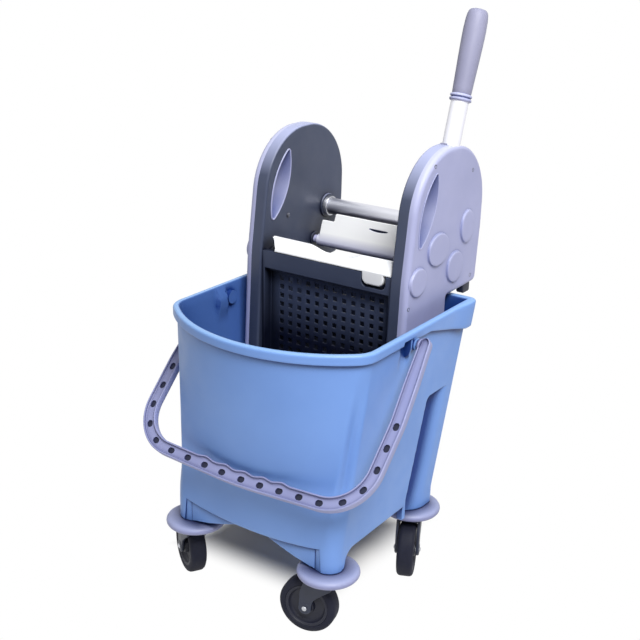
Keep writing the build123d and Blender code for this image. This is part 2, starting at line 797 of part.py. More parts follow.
def lever_hub():
    """The sector that drives the jaws, with the arm that carries the tube."""
    start = direction(lever_centre, idler_place()) - sector_end_margin
    end = direction(lever_centre, rear_centre) + lever_travel + sector_end_margin
    teeth = gear_face(sector_teeth, gear_phases()[0], start, end, lever_centre)
    teeth = teeth & pie(lever_centre, 2 * sector_radius, start, end)
    hub = side_slab(teeth, *near_gear_x)
    hub += along_x(pivot_boss_radius, near_gear_x[0], hub_end_x, *lever_centre)
    half = hub_arm_width / 2
    arm = on_lever(block((hub_arm_x[0] - lever_mid_x, hub_arm_x[1] - lever_mid_x), (-half, half),
                         (0, lever_tube_start)))
    hub += arm
    inner = lever_tube_radius - lever_tube_wall
    hub += lever_rod(inner, lever_tube_start - 2 * lever_tube_wall, lever_tube_start + spigot_length)
    return hub - along_x(pivot_pin_radius + running_gap, near_gear_x[0], hub_end_x, *lever_centre)


def lever_tube():
    end = grip_end - grip_end_wall
    tube = lever_rod(lever_tube_radius, lever_tube_start, end)
    return tube - lever_rod(lever_tube_radius - lever_tube_wall, lever_tube_start, end)


def lever_grip():
    length = grip_end - grip_start
    body = Cone(grip_foot_radius, grip_top_radius, length, align=LOWEST)
    body = fillet(body.edges().group_by(Axis.Z)[-1], 0.6 * grip_top_radius)
    bore = lever_rod(lever_tube_radius, grip_start, grip_end - grip_end_wall)
    return on_lever(Pos(0, 0, grip_start) * body) - bore


def grip_collar():
    """Two rounded ridges that close the foot of the grip."""
    ridge = collar_length / 2
    collar = Part()
    for start in (0, ridge):
        ring = Cylinder(collar_radius, ridge, align=LOWEST)
        ring = fillet(ring.edges().filter_by(GeomType.CIRCLE), 0.4 * ridge)
        collar += Pos(0, 0, grip_start - collar_length + start) * ring
    return on_lever(collar) - lever_rod(lever_tube_radius, grip_start - collar_length, grip_start)


def return_spring():
    """The hidden coil round the lever's boss, drawn as the ring that it fills."""
    start = hub_arm_x[1]
    coil = along_x(pivot_boss_radius + spring_coil_thickness, start, start + spring_length, *lever_centre)
    return coil - along_x(pivot_boss_radius, start, start + spring_length, *lever_centre)


def pivot_pin(centre):
    return along_x(pivot_pin_radius, frame_inner_x, cover_outer_x, *centre)


def idler_gear():
    wheel = gear_face(idler_teeth, gear_phases()[2], 0, 359, idler_place())
    gear = side_slab(wheel, near_gear_x[0], far_gear_x[1])
    return gear - along_x(pivot_pin_radius + running_gap, near_gear_x[0], far_gear_x[1], *idler_place())


def rear_pinion():
    meet = direction(rear_centre, lever_centre)
    wheel = gear_face(pinion_teeth, gear_phases()[1], meet - jaw_travel - pinion_end_margin,
                      meet + pinion_end_margin, rear_centre)
    return side_slab(wheel, *near_gear_x) - along_x(journal_radius, *near_gear_x, *rear_centre)


def front_pinion():
    meet = direction(front_centre, idler_place())
    wheel = gear_face(pinion_teeth, gear_phases()[3], meet - pinion_end_margin,
                      meet + jaw_travel + pinion_end_margin, front_centre)
    return side_slab(wheel, *far_gear_x) - along_x(journal_radius, *far_gear_x, *front_centre)


# Jaws


def jaw_plate(length, right_end):
    """A jaw drawn upright on its axis, with its rolled hinge edge and its journals."""
    half = jaw_thickness / 2
    plate = block((-jaw_half_width, jaw_half_width), (-half, half), (0, length))
    top = plate.faces().sort_by(Axis.Z)[-1]
    plate = fillet(top.edges().filter_by(Axis.X), 0.8 * half)
    plate += along_x(jaw_roll_radius, -jaw_half_width, jaw_half_width, 0, 0)
    return plate + along_x(journal_radius, -cavity_start_x - bush_flange_thickness, right_end, 0, 0)


def rear_jaw():
    jaw = jaw_plate(rear_jaw_length, near_gear_x[1])
    inner = jaw_half_width - corner_notch_width
    notch = block((inner, jaw_half_width), (-jaw_thickness, jaw_thickness),
                  (rear_jaw_length - corner_notch_depth, rear_jaw_length))
    jaw = jaw - notch - mirrored(notch)
    return Pos(0, *rear_centre) * (Rot(-rear_jaw_lean, 0, 0) * jaw)


def front_jaw():
    """The front jaw: the dip for a mop handle, the flange over the bar and the tab in the bar's notch."""
    jaw = jaw_plate(front_jaw_length, far_gear_x[1])
    half = handle_notch_width / 2
    top = front_jaw_length
    dip = ThreePointArc((-half, top), (0, top - handle_notch_depth), (half, top))
    dip_face = make_face([dip, Line((half, top), (-half, top))])
    jaw -= extrude(Plane.XZ.offset(-jaw_thickness) * dip_face, amount=2 * jaw_thickness)
    jaw = Pos(0, *front_centre) * (Rot(front_jaw_lean, 0, 0) * jaw)
    flange_rear_y = front_jaw_y - (jaw_flange_top_z - jaw_pivot_z) * math.tan(math.radians(front_jaw_lean))
    front_y = bar_front_y + tab_setback
    jaw += block((-jaw_half_width, jaw_half_width), (front_y, flange_rear_y),
                 (jaw_flange_foot_z, jaw_flange_top_z))
    tab = block((tab_left_x, tab_left_x + tab_width), (front_y, front_jaw_y), (jaw_pivot_z, jaw_flange_top_z))
    front = tab.faces().sort_by(Axis.Y)[0]
    tab = fillet(front.edges().filter_by(Axis.X).sort_by(Axis.Z)[0], tab_corner_radius)
    return jaw + tab


def jaw_bushes():
    """The four flanged bushes that the jaw journals turn in."""
    bushes = Part()
    start = frame_inner_x - bush_flange_thickness
    for y in (front_jaw_y, rear_jaw_y):
        flange = along_x(bush_flange_radius, start, frame_inner_x, y, jaw_pivot_z)
        bush = flange + along_x(bush_radius, frame_inner_x, cavity_start_x, y, jaw_pivot_z)
        bush -= along_x(journal_radius + running_gap, start, cavity_start_x, y, jaw_pivot_z)
        bushes += bush
        bushes += mirrored(bush)
    return bushes


# Cross tube and panels


def tie_seat_x():
    return frame_inner_x - tie_flange_thickness


def tie_tube():
    end = tie_seat_x()
    tube = along_x(tie_radius, -end, end, tie_y, tie_z)
    return tube - along_x(tie_radius - tie_wall, -end, end, tie_y, tie_z)


def tie_flange():
    """The stepped flange at the tube's right end."""
    seat = tie_seat_x()
    flange = along_x(tie_flange_radius, seat, frame_inner_x, tie_y, tie_z)
    flange += along_x(tie_cup_radius, seat - tie_cup_length, seat, tie_y, tie_z)
    flange -= along_x(tie_radius, seat - tie_cup_length, seat, tie_y, tie_z)
    return flange + along_x(tie_spigot_radius, frame_inner_x, cavity_start_x, tie_y, tie_z)


def hole_columns():
    first = -grille_pitch_x * (grille_columns - 1) / 2
    return [first + grille_pitch_x * index for index in range(grille_columns)]


def front_panel():
    """The bar that the front jaw leans over, with the perforated panel set back below it."""
    grille_y = (grille_rear_y - grille_thickness, grille_rear_y)
    width = (-frame_inner_x, frame_inner_x)
    roof_z = bar_foot_z - roof_drop
    panel = block(width, (bar_front_y, bar_rear_y), (bar_foot_z, bar_top_z))
    panel += block(width, (bar_rear_y - grille_thickness, bar_rear_y), (roof_z, bar_foot_z))
    panel += block(width, (bar_rear_y - grille_thickness, grille_rear_y), (roof_z, roof_z + grille_thickness))
    panel += block(width, grille_y, (housing_foot_z, roof_z))
    panel += block(width, (bar_front_y, grille_rear_y), (housing_foot_z, housing_foot_z + grille_thickness))
    flange = block((frame_inner_x - panel_flange, frame_inner_x), (bar_front_y, grille_rear_y),
                   (housing_foot_z, roof_z + grille_thickness))
    flange += block((frame_inner_x - panel_flange, frame_inner_x), (bar_front_y, bar_rear_y),
                    (roof_z, bar_foot_z))
    panel += flange
    panel += mirrored(flange)
    half = grille_hole / 2
    face = Sketch()
    for row in range(grille_rows):
        z = bar_foot_z - grille_first_row - row * grille_pitch_z
        for x in hole_columns():
            face += Pos(x, z) * Rectangle(2 * half, 2 * half)
    panel -= extrude(Plane.XZ.offset(-grille_y[1]) * face, amount=grille_thickness)
    notch_x = (tab_left_x - bar_notch_gap, tab_left_x + tab_width + bar_notch_gap)
    notch = block(notch_x, (bar_front_y, bar_rear_y), (bar_top_z - bar_notch_depth, bar_top_z))
    notch = fillet(notch.faces().sort_by(Axis.Z)[0].edges().filter_by(Axis.Y), bar_notch_radius)
    return panel - notch


def rear_panel():
    """The plate behind the mop's room, with the shelf and hook that hang it on the rear rim."""
    width = (-frame_inner_x, frame_inner_x)
    front = housing_inside_rear_y - rear_panel_thickness
    hook = rim_outer_rear_y + hook_gap
    panel = block(width, (front, housing_inside_rear_y), (housing_foot_z, shelf_top_z))
    panel += block(width, (front, hook + rear_panel_thickness), (shelf_foot_z, shelf_top_z))
    return panel + block(width, (hook, hook + rear_panel_thickness), (shelf_foot_z - hook_drop, shelf_top_z))


def sieve_floor():
    front = grille_rear_y
    rear = housing_inside_rear_y - rear_panel_thickness
    top = housing_foot_z + sieve_thickness
    floor = block((-frame_inner_x, frame_inner_x), (front, rear), (housing_foot_z, top))
    face = Sketch()
    first = (front + rear) / 2 - sieve_pitch_y * (sieve_rows - 1) / 2
    for row in range(sieve_rows):
        for x in hole_columns():
            face += Pos(x, first + row * sieve_pitch_y) * Rectangle(grille_hole, grille_hole)
    return floor - flat_slab(face, housing_foot_z, top)


def main():
    write("bucket", bucket())
    for place in leg_places():
        write("bumper_" + place, at_caster(bumper_disc(), place))
        write("caster_stem_" + place, at_caster(caster_stem(), place))
        write("caster_fork_" + place, at_caster(caster_fork(), place))
        write("caster_axle_" + place, at_caster(caster_axle(), place))
        write("caster_wheel_" + place, at_caster(caster_wheel(), place))
        write("caster_tyre_" + place, at_caster(caster_tyre(), place))
    write("bail", bail())
    write("bail_pin_right", bail_pin(1))
    write("bail_pin_left", bail_pin(-1))
    write("side_frame_right", side_frame(True))
    write("side_frame_left", mirrored(side_frame(False)))
    write("side_cover_right", side_cover(True))
    write("side_cover_left", mirrored(side_cover(False)))
    write("cover_screws_right", cover_screws())
    write("cover_screws_left", mirrored(cover_screws()))
    write("front_panel", front_panel())
    write("rear_panel", rear_panel())
    write("sieve_floor", sieve_floor())
    write("tie_tube", tie_tube())
    write("tie_flange_right", tie_flange())
    write("tie_flange_left", mirrored(tie_flange()))
    write("front_jaw", front_jaw())
    write("rear_jaw", rear_jaw())
    write("jaw_bushes", jaw_bushes())
    write("front_pinion", front_pinion())
    write("rear_pinion", rear_pinion())
    write("idler_gear", idler_gear())
    write("idler_pin", pivot_pin(idler_place()))
    write("lever_hub", lever_hub())
    write("lever_pivot_pin", pivot_pin(lever_centre))
    write("return_spring", return_spring())
    write("lever_tube", lever_tube())
    write("lever_grip", lever_grip())
    write("grip_collar", grip_collar())


main()
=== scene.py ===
import bmesh
import bpy
from math import asin, copysign, cos, pi, radians, sin, sqrt, tan
from mathutils import Matrix, Vector


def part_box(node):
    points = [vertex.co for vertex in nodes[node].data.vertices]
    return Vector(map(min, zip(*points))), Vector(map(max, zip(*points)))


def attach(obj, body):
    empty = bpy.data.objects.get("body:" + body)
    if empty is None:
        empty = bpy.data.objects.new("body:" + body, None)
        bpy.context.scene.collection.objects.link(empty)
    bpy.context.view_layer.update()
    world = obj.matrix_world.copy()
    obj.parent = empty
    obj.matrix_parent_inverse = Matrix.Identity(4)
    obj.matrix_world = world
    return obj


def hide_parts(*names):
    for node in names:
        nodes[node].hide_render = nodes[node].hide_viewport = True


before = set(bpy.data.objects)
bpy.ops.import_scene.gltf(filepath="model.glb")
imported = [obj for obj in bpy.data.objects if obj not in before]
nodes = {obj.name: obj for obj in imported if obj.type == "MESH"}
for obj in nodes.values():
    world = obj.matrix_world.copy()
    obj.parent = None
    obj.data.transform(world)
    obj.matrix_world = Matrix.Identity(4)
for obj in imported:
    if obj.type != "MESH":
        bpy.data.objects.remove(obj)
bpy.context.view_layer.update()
scene = bpy.context.scene

# Pieces are drawn in millimetres with y = 0 midway between the caster axes, as in the part's source.
# SHIFT moves them to the shared frame, whose origin lies under the middle of the whole object.
# A place of two numbers is (y, z), as seen from the right.
MM = 0.001
TIE = (192.0, 493.0)
SHIFT = sum(corner[1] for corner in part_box("tie_tube")) * 1000 / 2 - TIE[0]
RIGHT = (1, 0, 0)
BACK = (0, 1, 0)
UP = (0, 0, 1)
SIDES = ((1, "right"), (-1, "left"))


def point(x, y, z):
    """A drawn point, in metres in the shared frame."""
    return Vector((x, y + SHIFT, z)) * MM


def extent(node):
    """A CAD node's left and right end, its middle as (y, z) and its radius, as drawn."""
    low, high = ((1000 * x, 1000 * y - SHIFT, 1000 * z) for x, y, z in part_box(node))
    middle = ((low[1] + high[1]) / 2, (low[2] + high[2]) / 2)
    return low[0], high[0], middle, (high[1] - low[1]) / 2


def mix(a, b, share):
    """A share of the way from a to b."""
    return a + (b - a) * share


def held(value):
    """A share kept between 0 and 1."""
    return min(max(value, 0.0), 1.0)


def ease(value):
    """A smooth step from 0 to 1."""
    value = held(value)
    return value * value * (3 - 2 * value)


# Materials

# Where clouding, sheen and the painted shade in creases start and are full, on noise and on openness
CLOUD_SPAN = (0.32, 0.68)
SHEEN_SPAN = (0.3, 0.7)
CREASE_SHADE_START = 0.95

# Noise scales in cycles per metre and bump depths in metres
SHEEN_SCALE = 45
GRAIN_DEPTH = 0.0003
TONE_SCALE = 30
LINE_SCALE = 420
LINE_DEPTH = 0.0002


def linear(colour):
    """An sRGB colour of 0 to 255 as linear RGBA."""
    parts = [part / 255 for part in colour]
    parts = [part / 12.92 if part <= 0.04045 else ((part + 0.055) / 1.055) ** 2.4 for part in parts]
    return (*parts, 1.0)


def fill(tree, node, inputs):
    """Set or link inputs of a node."""
    for name, value in dict(inputs).items():
        if isinstance(value, bpy.types.NodeSocket):
            tree.links.new(value, node.inputs[name])
        else:
            node.inputs[name].default_value = value


def add_node(tree, kind, inputs=(), **settings):
    """A new shader node."""
    node = tree.nodes.new("ShaderNode" + kind)
    for name, value in settings.items():
        setattr(node, name, value)
    fill(tree, node, inputs)
    return node


def combine(tree, operation, first, second, clamp=False):
    """Two values put together."""
    return add_node(tree, "Math", {0: first, 1: second}, operation=operation, use_clamp=clamp).outputs[0]


class Surface:
    """A node material whose colour, roughness and bump come from noise, with painted light and shade laid on
    the colour.
    """

    def __init__(self, name, inputs):
        self.material = bpy.data.materials.new(name)
        self.material.use_nodes = True
        self.tree = self.material.node_tree
        self.shader = self.tree.nodes["Principled BSDF"]
        self.place = self.node("TexCoord").outputs["Object"]
        self.put(inputs)

    def node(self, kind, inputs=(), **settings):
        return add_node(self.tree, kind, inputs, **settings)

    def put(self, inputs):
        fill(self.tree, self.shader, inputs)

    def noise(self, scale, detail, stretch=(1, 1, 1)):
        """Noise of a scale in cycles per metre, drawn out by stretch."""
        place = self.node("Mapping", {"Vector": self.place, "Scale": stretch}).outputs["Vector"]
        return self.node("TexNoise", {"Vector": place, "Scale": scale, "Detail": detail}).outputs["Fac"]

    def clouds(self, source, dark, light):
        """A colour that wanders between two shades."""
        ramp = self.node("ValToRGB", {"Fac": source})
        for element, place, shade in zip(ramp.color_ramp.elements, CLOUD_SPAN, (dark, light)):
            element.position = place
            element.color = linear(shade)
        return ramp.outputs["Color"]

    def blend(self, share, first, second):
        """A socket's colour mixed with a fixed one."""
        inputs = {"Factor": share, "A": first, "B": linear(second)}
        return self.node("Mix", inputs, data_type="RGBA").outputs["Result"]

    def span(self, source, start, end, low=0.0, high=1.0, course="LINEAR"):
        """A value taken from one range to another."""
        inputs = {"Value": source, "From Min": start, "From Max": end, "To Min": low, "To Max": high}
        return self.node("MapRange", inputs, interpolation_type=course).outputs["Result"]

    def part_of(self, vector, axis):
        """One part of a vector: X, Y or Z."""
        return self.node("SeparateXYZ", {"Vector": vector}).outputs[axis]

    def measure(self, name):
        """What a tint of painted light or shade follows: how far the surface looks up, how far outward, or a
        place.
        """
        if name in "XYZ":
            return self.part_of(self.place, name)
        facing = self.node("NewGeometry").outputs["Normal"]
        if name == "up":
            return self.part_of(facing, "Z")
        flat = self.node("VectorMath", {0: facing, 1: (1, 1, 0)}, operation="MULTIPLY").outputs[0]
        return self.node("VectorMath", {0: flat, 1: self.place}, operation="DOT_PRODUCT").outputs["Value"]

    def colour(self, source, dark, light, tints=(), crease=None, reach=0.05, full=0.48, alone=False):
        """Colour clouded between two shades, with painted light and shade laid over it.

        A tint has a measure, where on it the tint starts and is full, how much it covers, and a colour;
        each tint paints faces lighter or darker, by how they face or where they lie, as light and shade.
        Hollows up to reach metres wide take the crease colour as painted shade,
        with alone only the piece's own ones."""
        shade = self.clouds(source, dark, light)
        # Painted light and shade: each tint lightens or darkens the colour by facing or by place
        for name, start, end, amount, tint in tints:
            shade = self.blend(self.span(self.measure(name), start, end, 0.0, amount), shade, tint)
        # Painted shade: hollows, judged by ambient occlusion, take the darker crease colour
        if crease:
            openness = self.node("AmbientOcclusion", {"Distance": reach}, only_local=alone).outputs["AO"]
            shade = self.blend(self.span(openness, CREASE_SHADE_START, full), shade, crease)
        self.put({"Base Color": shade})

    def rough(self, source, low, high):
        self.put({"Roughness": self.span(source, *SHEEN_SPAN, low, high)})

    def bump(self, source, strength, distance):
        inputs = {"Height": source, "Strength": strength, "Distance": distance}
        self.put({"Normal": self.node("Bump", inputs).outputs["Normal"]})


def moulded(name, dark, light, rough, grain=1500, strength=0.12, specular=0.45, cloud=9, **painted_shading):
    """Moulded plastic with slow clouding, uneven sheen and a fine grain."""
    surface = Surface(name, {"Roughness": rough[0], "Specular IOR Level": specular})
    surface.colour(surface.noise(cloud, 4), dark, light, **painted_shading)
    surface.rough(surface.noise(SHEEN_SCALE, 4), *rough)
    surface.bump(surface.noise(grain, 2), strength, GRAIN_DEPTH)
    return surface.material


def drawn_metal(name, dark, light, rough, stretch=(1, 1, 1), strength=0.06, metallic=1.0, **painted_shading):
    """Drawn or turned metal, with fine lines along one axis."""
    surface = Surface(name, {"Roughness": rough[0], "Metallic": metallic})
    lines = surface.noise(LINE_SCALE, 3, stretch)
    surface.colour(surface.noise(TONE_SCALE, 3, stretch), dark, light, **painted_shading)
    surface.rough(lines, *rough)
    surface.bump(lines, strength, LINE_DEPTH)
    return surface.material


# Bucket blue with painted light and shade: faces that look up painted lighter as light from above, walls
# facing the middle painted darker as shade inside the tub, and the tub's own hollows, such as the side
# recess, painted darker as shade
BLUE = moulded(
    "bucket_blue", (104, 143, 210), (112, 151, 218), (0.36, 0.48), grain=1100, specular=0.4, cloud=7,
    crease=(20, 52, 120), reach=0.12, full=0.76, alone=True,
    tints=[("up", 0.06, 0.95, 0.6, (148, 186, 226)), ("outward", -0.015, -0.08, 0.85, (58, 92, 160))])
# Pale moulding with painted light and shade: upper edges of ovals and rounds painted lighter as highlights,
# and the piece's own hollows painted darker as shade
PALE = moulded(
    "pale_moulding", (152, 156, 194), (162, 166, 204), (0.42, 0.56), grain=1700, strength=0.18,
    crease=(84, 95, 148), reach=0.035, alone=True, tints=[("up", 0.06, 0.95, 0.5, (214, 218, 240))])
# The bail's hollows, such as the channel beside its lips, painted darker as shade
BAIL = moulded(
    "bail_plastic", (138, 143, 184), (148, 153, 194), (0.42, 0.56), grain=1700, strength=0.18,
    crease=(60, 62, 104), reach=0.02)
# Disc plastic with painted light and shade: hollows, such as the top under each leg, painted darker as shade,
# and tops painted lighter as light from above
DISC = moulded(
    "disc_plastic", (128, 133, 174), (138, 143, 184), (0.4, 0.52), grain=1600, strength=0.15,
    crease=(36, 44, 84), reach=0.04, tints=[("up", 0.06, 0.95, 0.35, (200, 210, 244))])
GRIP = moulded("grip_plastic", (130, 131, 157), (142, 143, 169), (0.45, 0.6), strength=0.2)
# Dark moulding with painted light and shade: faces that look up painted pale lilac as a painted sheen of
# light from above, and hollows and places near other parts painted near black as shade
DARK = moulded(
    "dark_moulding", (54, 62, 84), (64, 72, 95), (0.36, 0.5), strength=0.16, specular=0.4,
    crease=(6, 12, 32), reach=0.06, tints=[("up", 0.36, 0.95, 0.85, (182, 189, 226))])
# Inner moulding, darker than the dark moulding as painted shade deep inside the wringer, with its hollows
# painted darker still as shade
INSIDE = moulded(
    "inner_moulding", (24, 30, 48), (32, 38, 58), (0.5, 0.65), strength=0.16, specular=0.25,
    crease=(3, 7, 20), reach=0.08)
# Grille panel: the plate behind the bar, past these depths, painted lighter as painted light against the
# bar's shadow, then painted darker towards the bottom as shade within the bucket, and its holes painted
# darker as shade
PAINTED_LIGHT_DEPTHS = [(SHIFT + y) * MM for y in (46, 49)]
PANEL = moulded(
    "panel_moulding", (54, 62, 84), (64, 72, 95), (0.4, 0.55), strength=0.16, specular=0.3,
    crease=(4, 9, 26), reach=0.024,
    tints=[("Y", *PAINTED_LIGHT_DEPTHS, 1.0, (82, 93, 122)), ("Z", 0.445, 0.335, 1.0, (6, 9, 28))])
# White moulding with painted shade, for the rear flap: faces that look down and the band low on its roll
# painted lilac grey, and its hollows painted grey, all as shade
PAINTED_SHADE_WHITE = moulded(
    "white_moulding_painted_shade", (247, 248, 250), (253, 254, 255), (0.3, 0.42), grain=900, strength=0.08,
    crease=(150, 152, 192), reach=0.015,
    tints=[("up", 0.1, -0.4, 0.9, (140, 142, 184)), ("Z", 0.462, 0.446, 1.0, (178, 180, 209))])
PLAIN_WHITE = moulded("plain_white", (236, 238, 243), (245, 247, 250), (0.34, 0.46), grain=900, strength=0.08)
BLACK = moulded("wheel_black", (20, 23, 39), (30, 33, 51), (0.42, 0.58), grain=1300, strength=0.2)
FORK = moulded("fork_coat", (31, 38, 58), (41, 48, 70), (0.36, 0.5), grain=800, strength=0.1, specular=0.5)
RUBBER = moulded(
    "worn_rubber", (14, 17, 33), (24, 27, 45), (0.62, 0.8), grain=600, strength=0.35, specular=0.3)
GEAR = moulded("gear_plastic", (44, 46, 52), (58, 60, 66), (0.4, 0.55), grain=1200)
# Dark navy as painted shade: floors in the bail's holes and the rear flap's slit that stand in for the shade
# in them
PAINTED_SHADE_NAVY = moulded("painted_hole_shade", (20, 24, 46), (28, 33, 58), (0.6, 0.75), grain=900)
SCREW = drawn_metal("screw_steel", (92, 94, 104), (128, 130, 140), (0.34, 0.5))
STEEL = drawn_metal("plain_steel", (172, 174, 180), (206, 208, 214), (0.26, 0.4))
# Polished tube with its underside painted dark grey as a painted reflection of the dark parts below
CHROME = drawn_metal(
    "polished_tube", (212, 213, 222), (236, 237, 244), (0.36, 0.46), (0.02, 1, 1), 0.03,
    tints=[("up", 0.1, -0.4, 0.9, (92, 92, 102))])
ALUMINIUM = drawn_metal(
    "drawn_aluminium", (226, 227, 238), (242, 243, 250), (0.34, 0.46), (1, 0.3, 0.03), 0.05, 0.3)


# Mesh helpers

MERGE = 1e-6
WELD = 1e-5


def added(name, data):
    """A new object in the scene."""
    thing = bpy.data.objects.new(name, data)
    scene.collection.objects.link(thing)
    return thing


def joined(name, meshes):
    """One mesh out of several, with shared points merged and faces turned outward."""
    work = bmesh.new()
    for mesh in meshes:
        work.from_mesh(mesh)
        bpy.data.meshes.remove(mesh)
    bmesh.ops.remove_doubles(work, verts=work.verts, dist=MERGE)
    bmesh.ops.recalc_face_normals(work, faces=work.faces)
    result = bpy.data.meshes.new(name)
    work.to_mesh(result)
    work.free()
    return result


def keep(name, meshes, body, material, sharp=35.0, stands_for=None):
    """One piece that rides on a body. Edges over an angle stay sharp."""
    mesh = joined(name, meshes)
    mesh.shade_smooth()
    mesh.set_sharp_from_angle(angle=radians(sharp))
    mesh.materials.append(material)
    piece = added(name, mesh)
    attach(piece, body)
    if stands_for:
        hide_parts(stands_for)
    return piece


def skin(rings, cap_start=False, cap_end=False):
    """A mesh over rings of one number of drawn points."""
    size = len(rings[0])
    faces = []
    for row in range(len(rings) - 1):
        for k in range(size):
            a = row * size + k
            b = row * size + (k + 1) % size
            faces.append((a, b, b + size, a + size))
    if cap_start:
        faces.append(tuple(range(size)))
    if cap_end:
        faces.append(tuple(range((len(rings) - 1) * size, len(rings) * size)))
    mesh = bpy.data.meshes.new("skin")
    mesh.from_pydata([point(*spot) for ring in rings for spot in ring], [], faces)
    return mesh


def prism(outline, low, high, to_space):
    """A closed prism over an outline. to_space takes (a, b, height) to a drawn point."""
    return skin([[to_space(a, b, height) for a, b in outline] for height in (low, high)], True, True)


def circle(count):
    """Cosine and sine of even steps round a circle."""
    angles = [2 * pi * k / count for k in range(count)]
    return [(cos(angle), sin(angle)) for angle in angles]


def crossways(place, side=1):
    """An axis across the object, to one side: a point on it, its way and its first spoke."""
    return (0, *place), (side, 0, 0), BACK


def lathe(profile, axis, segments=64, squash=1.0):
    """Rings of a profile of (distance along, radius) turned about an axis."""
    centre = Vector(axis[0])
    way, spoke = (Vector(part).normalized() for part in axis[1:])
    third = way.cross(spoke)
    rings = []
    for along, radius in profile:
        ring = []
        for cosine, sine in circle(segments):
            out = spoke * cosine + third * (squash * sine)
            ring.append(tuple(centre + way * along + out * radius))
        rings.append(ring)
    return rings


def looped(profile):
    """A profile closed on itself, for a turned ring with a bore."""
    return profile + profile[:1]


def mirrored(profile):
    """A profile followed by its mirror image."""
    return profile + [(-along, radius) for along, radius in reversed(profile)]


def spun(profile, axis, segments=64, squash=1.0):
    """A turned mesh, with flat ends unless its profile is closed or ends on the axis."""
    rings = lathe(profile, axis, segments, squash)
    bored = profile[0] == profile[-1]
    return skin(rings, profile[0][1] > 0 and not bored, profile[-1][1] > 0 and not bored)


def turned(name, profile, axis, body, material, stands_for=None, segments=64, sharp=35.0):
    """A turned piece."""
    return keep(name, [spun(profile, axis, segments)], body, material, sharp, stands_for)


def rounded_path(corners, radii, step=1.0):
    """Points along an outline, or a path with radius 0 at its ends, with rounded corners."""
    count = len(corners)
    path = []
    for k, corner in enumerate(corners):
        here = Vector(corner)
        back = (Vector(corners[k - 1]) - here).normalized()
        ahead = (Vector(corners[(k + 1) % count]) - here).normalized()
        opening = back.angle(ahead)
        radius = radii[k]
        if radius < 0.01 or opening > pi - 1e-4:
            path.append(here)
            continue
        reach = radius / tan(opening / 2)
        middle = here + (back + ahead).normalized() * (radius / sin(opening / 2))
        start = here + back * reach - middle
        turn = pi - opening
        side = 1 if back.x * ahead.y - back.y * ahead.x < 0 else -1
        pieces = max(2, int(radius * turn / step))
        for j in range(pieces + 1):
            angle = side * turn * j / pieces
            path.append(middle + Matrix.Rotation(angle, 2) @ start)
    return path


def path_lengths(path):
    """How far along a path each of its points lies."""
    lengths = [0.0]
    for a, b in zip(path, path[1:]):
        lengths.append(lengths[-1] + (b - a).length)
    return lengths


def even_path(path, step):
    """The same path in steps of one length."""
    lengths = path_lengths(path)
    count = max(2, round(lengths[-1] / step))
    result = []
    k = 0
    for j in range(count + 1):
        target = lengths[-1] * j / count
        while k < len(path) - 2 and lengths[k + 1] < target:
            k += 1
        share = (target - lengths[k]) / max(lengths[k + 1] - lengths[k], 1e-9)
        result.append(path[k].lerp(path[k + 1], share))
    return result


def grown(path, amount):
    """A closed path moved out from its middle by an amount."""
    area = sum(a.x * b.y - b.x * a.y for a, b in zip(path, path[1:] + path[:1]))
    way = 1 if area > 0 else -1
    result = []
    for k, spot in enumerate(path):
        along = path[(k + 1) % len(path)] - path[k - 1]
        out = Vector((along.y, -along.x)).normalized() * way
        result.append(spot + out * amount)
    return result


def from_front(side):
    """Takes a drawing seen from the front, at a depth, to one side."""
    return lambda a, b, depth: (side * a, depth, b)


def from_side(side):
    """Takes a drawing seen from the side, at a distance out, to one side."""
    return lambda a, b, out: (side * out, a, b)


def leaning(pivot, degrees):
    """Takes a drawing on a plane that leans back over a pivot to its place."""
    lean = radians(degrees)
    return lambda a, b, height: (a, pivot[0] + b * sin(lean) - height * cos(lean),
                                 pivot[1] + b * cos(lean) + height * sin(lean))


def made_mesh(holder):
    """The mesh that an object makes, which is removed afterwards."""
    bpy.context.view_layer.update()
    mesh = bpy.data.meshes.new_from_object(holder.evaluated_get(bpy.context.evaluated_depsgraph_get()))
    bpy.data.objects.remove(holder)
    return mesh


def plate(outlines, low, high, edge, to_space, cuts=3):
    """A plate of an outline, any others being holes, with its edges rounded in some cuts."""
    curve = bpy.data.curves.new("plate", "CURVE")
    curve.dimensions = "2D"
    curve.fill_mode = "BOTH"
    curve.extrude = (high - low) / 2 - edge
    curve.bevel_depth = edge
    curve.bevel_resolution = cuts
    curve.offset = -edge
    for outline in outlines:
        spline = curve.splines.new("POLY")
        spline.points.add(len(outline) - 1)
        for target, (a, b) in zip(spline.points, outline):
            target.co = (a, b, 0, 1)
        spline.use_cyclic_u = True
    mesh = made_mesh(added("plate", curve))
    bpy.data.curves.remove(curve)
    middle = (low + high) / 2
    for vertex in mesh.vertices:
        vertex.co = point(*to_space(vertex.co.x, vertex.co.y, vertex.co.z + middle))
    return mesh


def carve(mesh, cutters):
    """The mesh with each cutter in turn taken out of it."""
    for cutter in cutters:
        whole = joined("whole", [mesh])
        body = added("body", whole)
        tool = added("tool", joined("tool", [cutter]))
        cut = body.modifiers.new("cut", "BOOLEAN")
        cut.object = tool
        cut.operation = "DIFFERENCE"
        cut.solver = "EXACT"
        mesh = made_mesh(body)
        bpy.data.meshes.remove(whole)
        bpy.data.meshes.remove(tool.data)
    return mesh


def level(piece):
    """Shade a piece's flat faces flat."""
    weighted = piece.modifiers.new("level", "WEIGHTED_NORMAL")
    weighted.keep_sharp = True
    weighted.weight = 100


def soften(piece, width):
    """Round a piece's edges with a bevel, in millimetres."""
    weld = piece.modifiers.new("weld", "WELD")
    weld.merge_threshold = WELD
    bevel = piece.modifiers.new("rounded", "BEVEL")
    bevel.width = width * MM
    bevel.segments = 3
    bevel.limit_method = "ANGLE"
    bevel.angle_limit = radians(30.0)
    bevel.use_clamp_overlap = True
    level(piece)


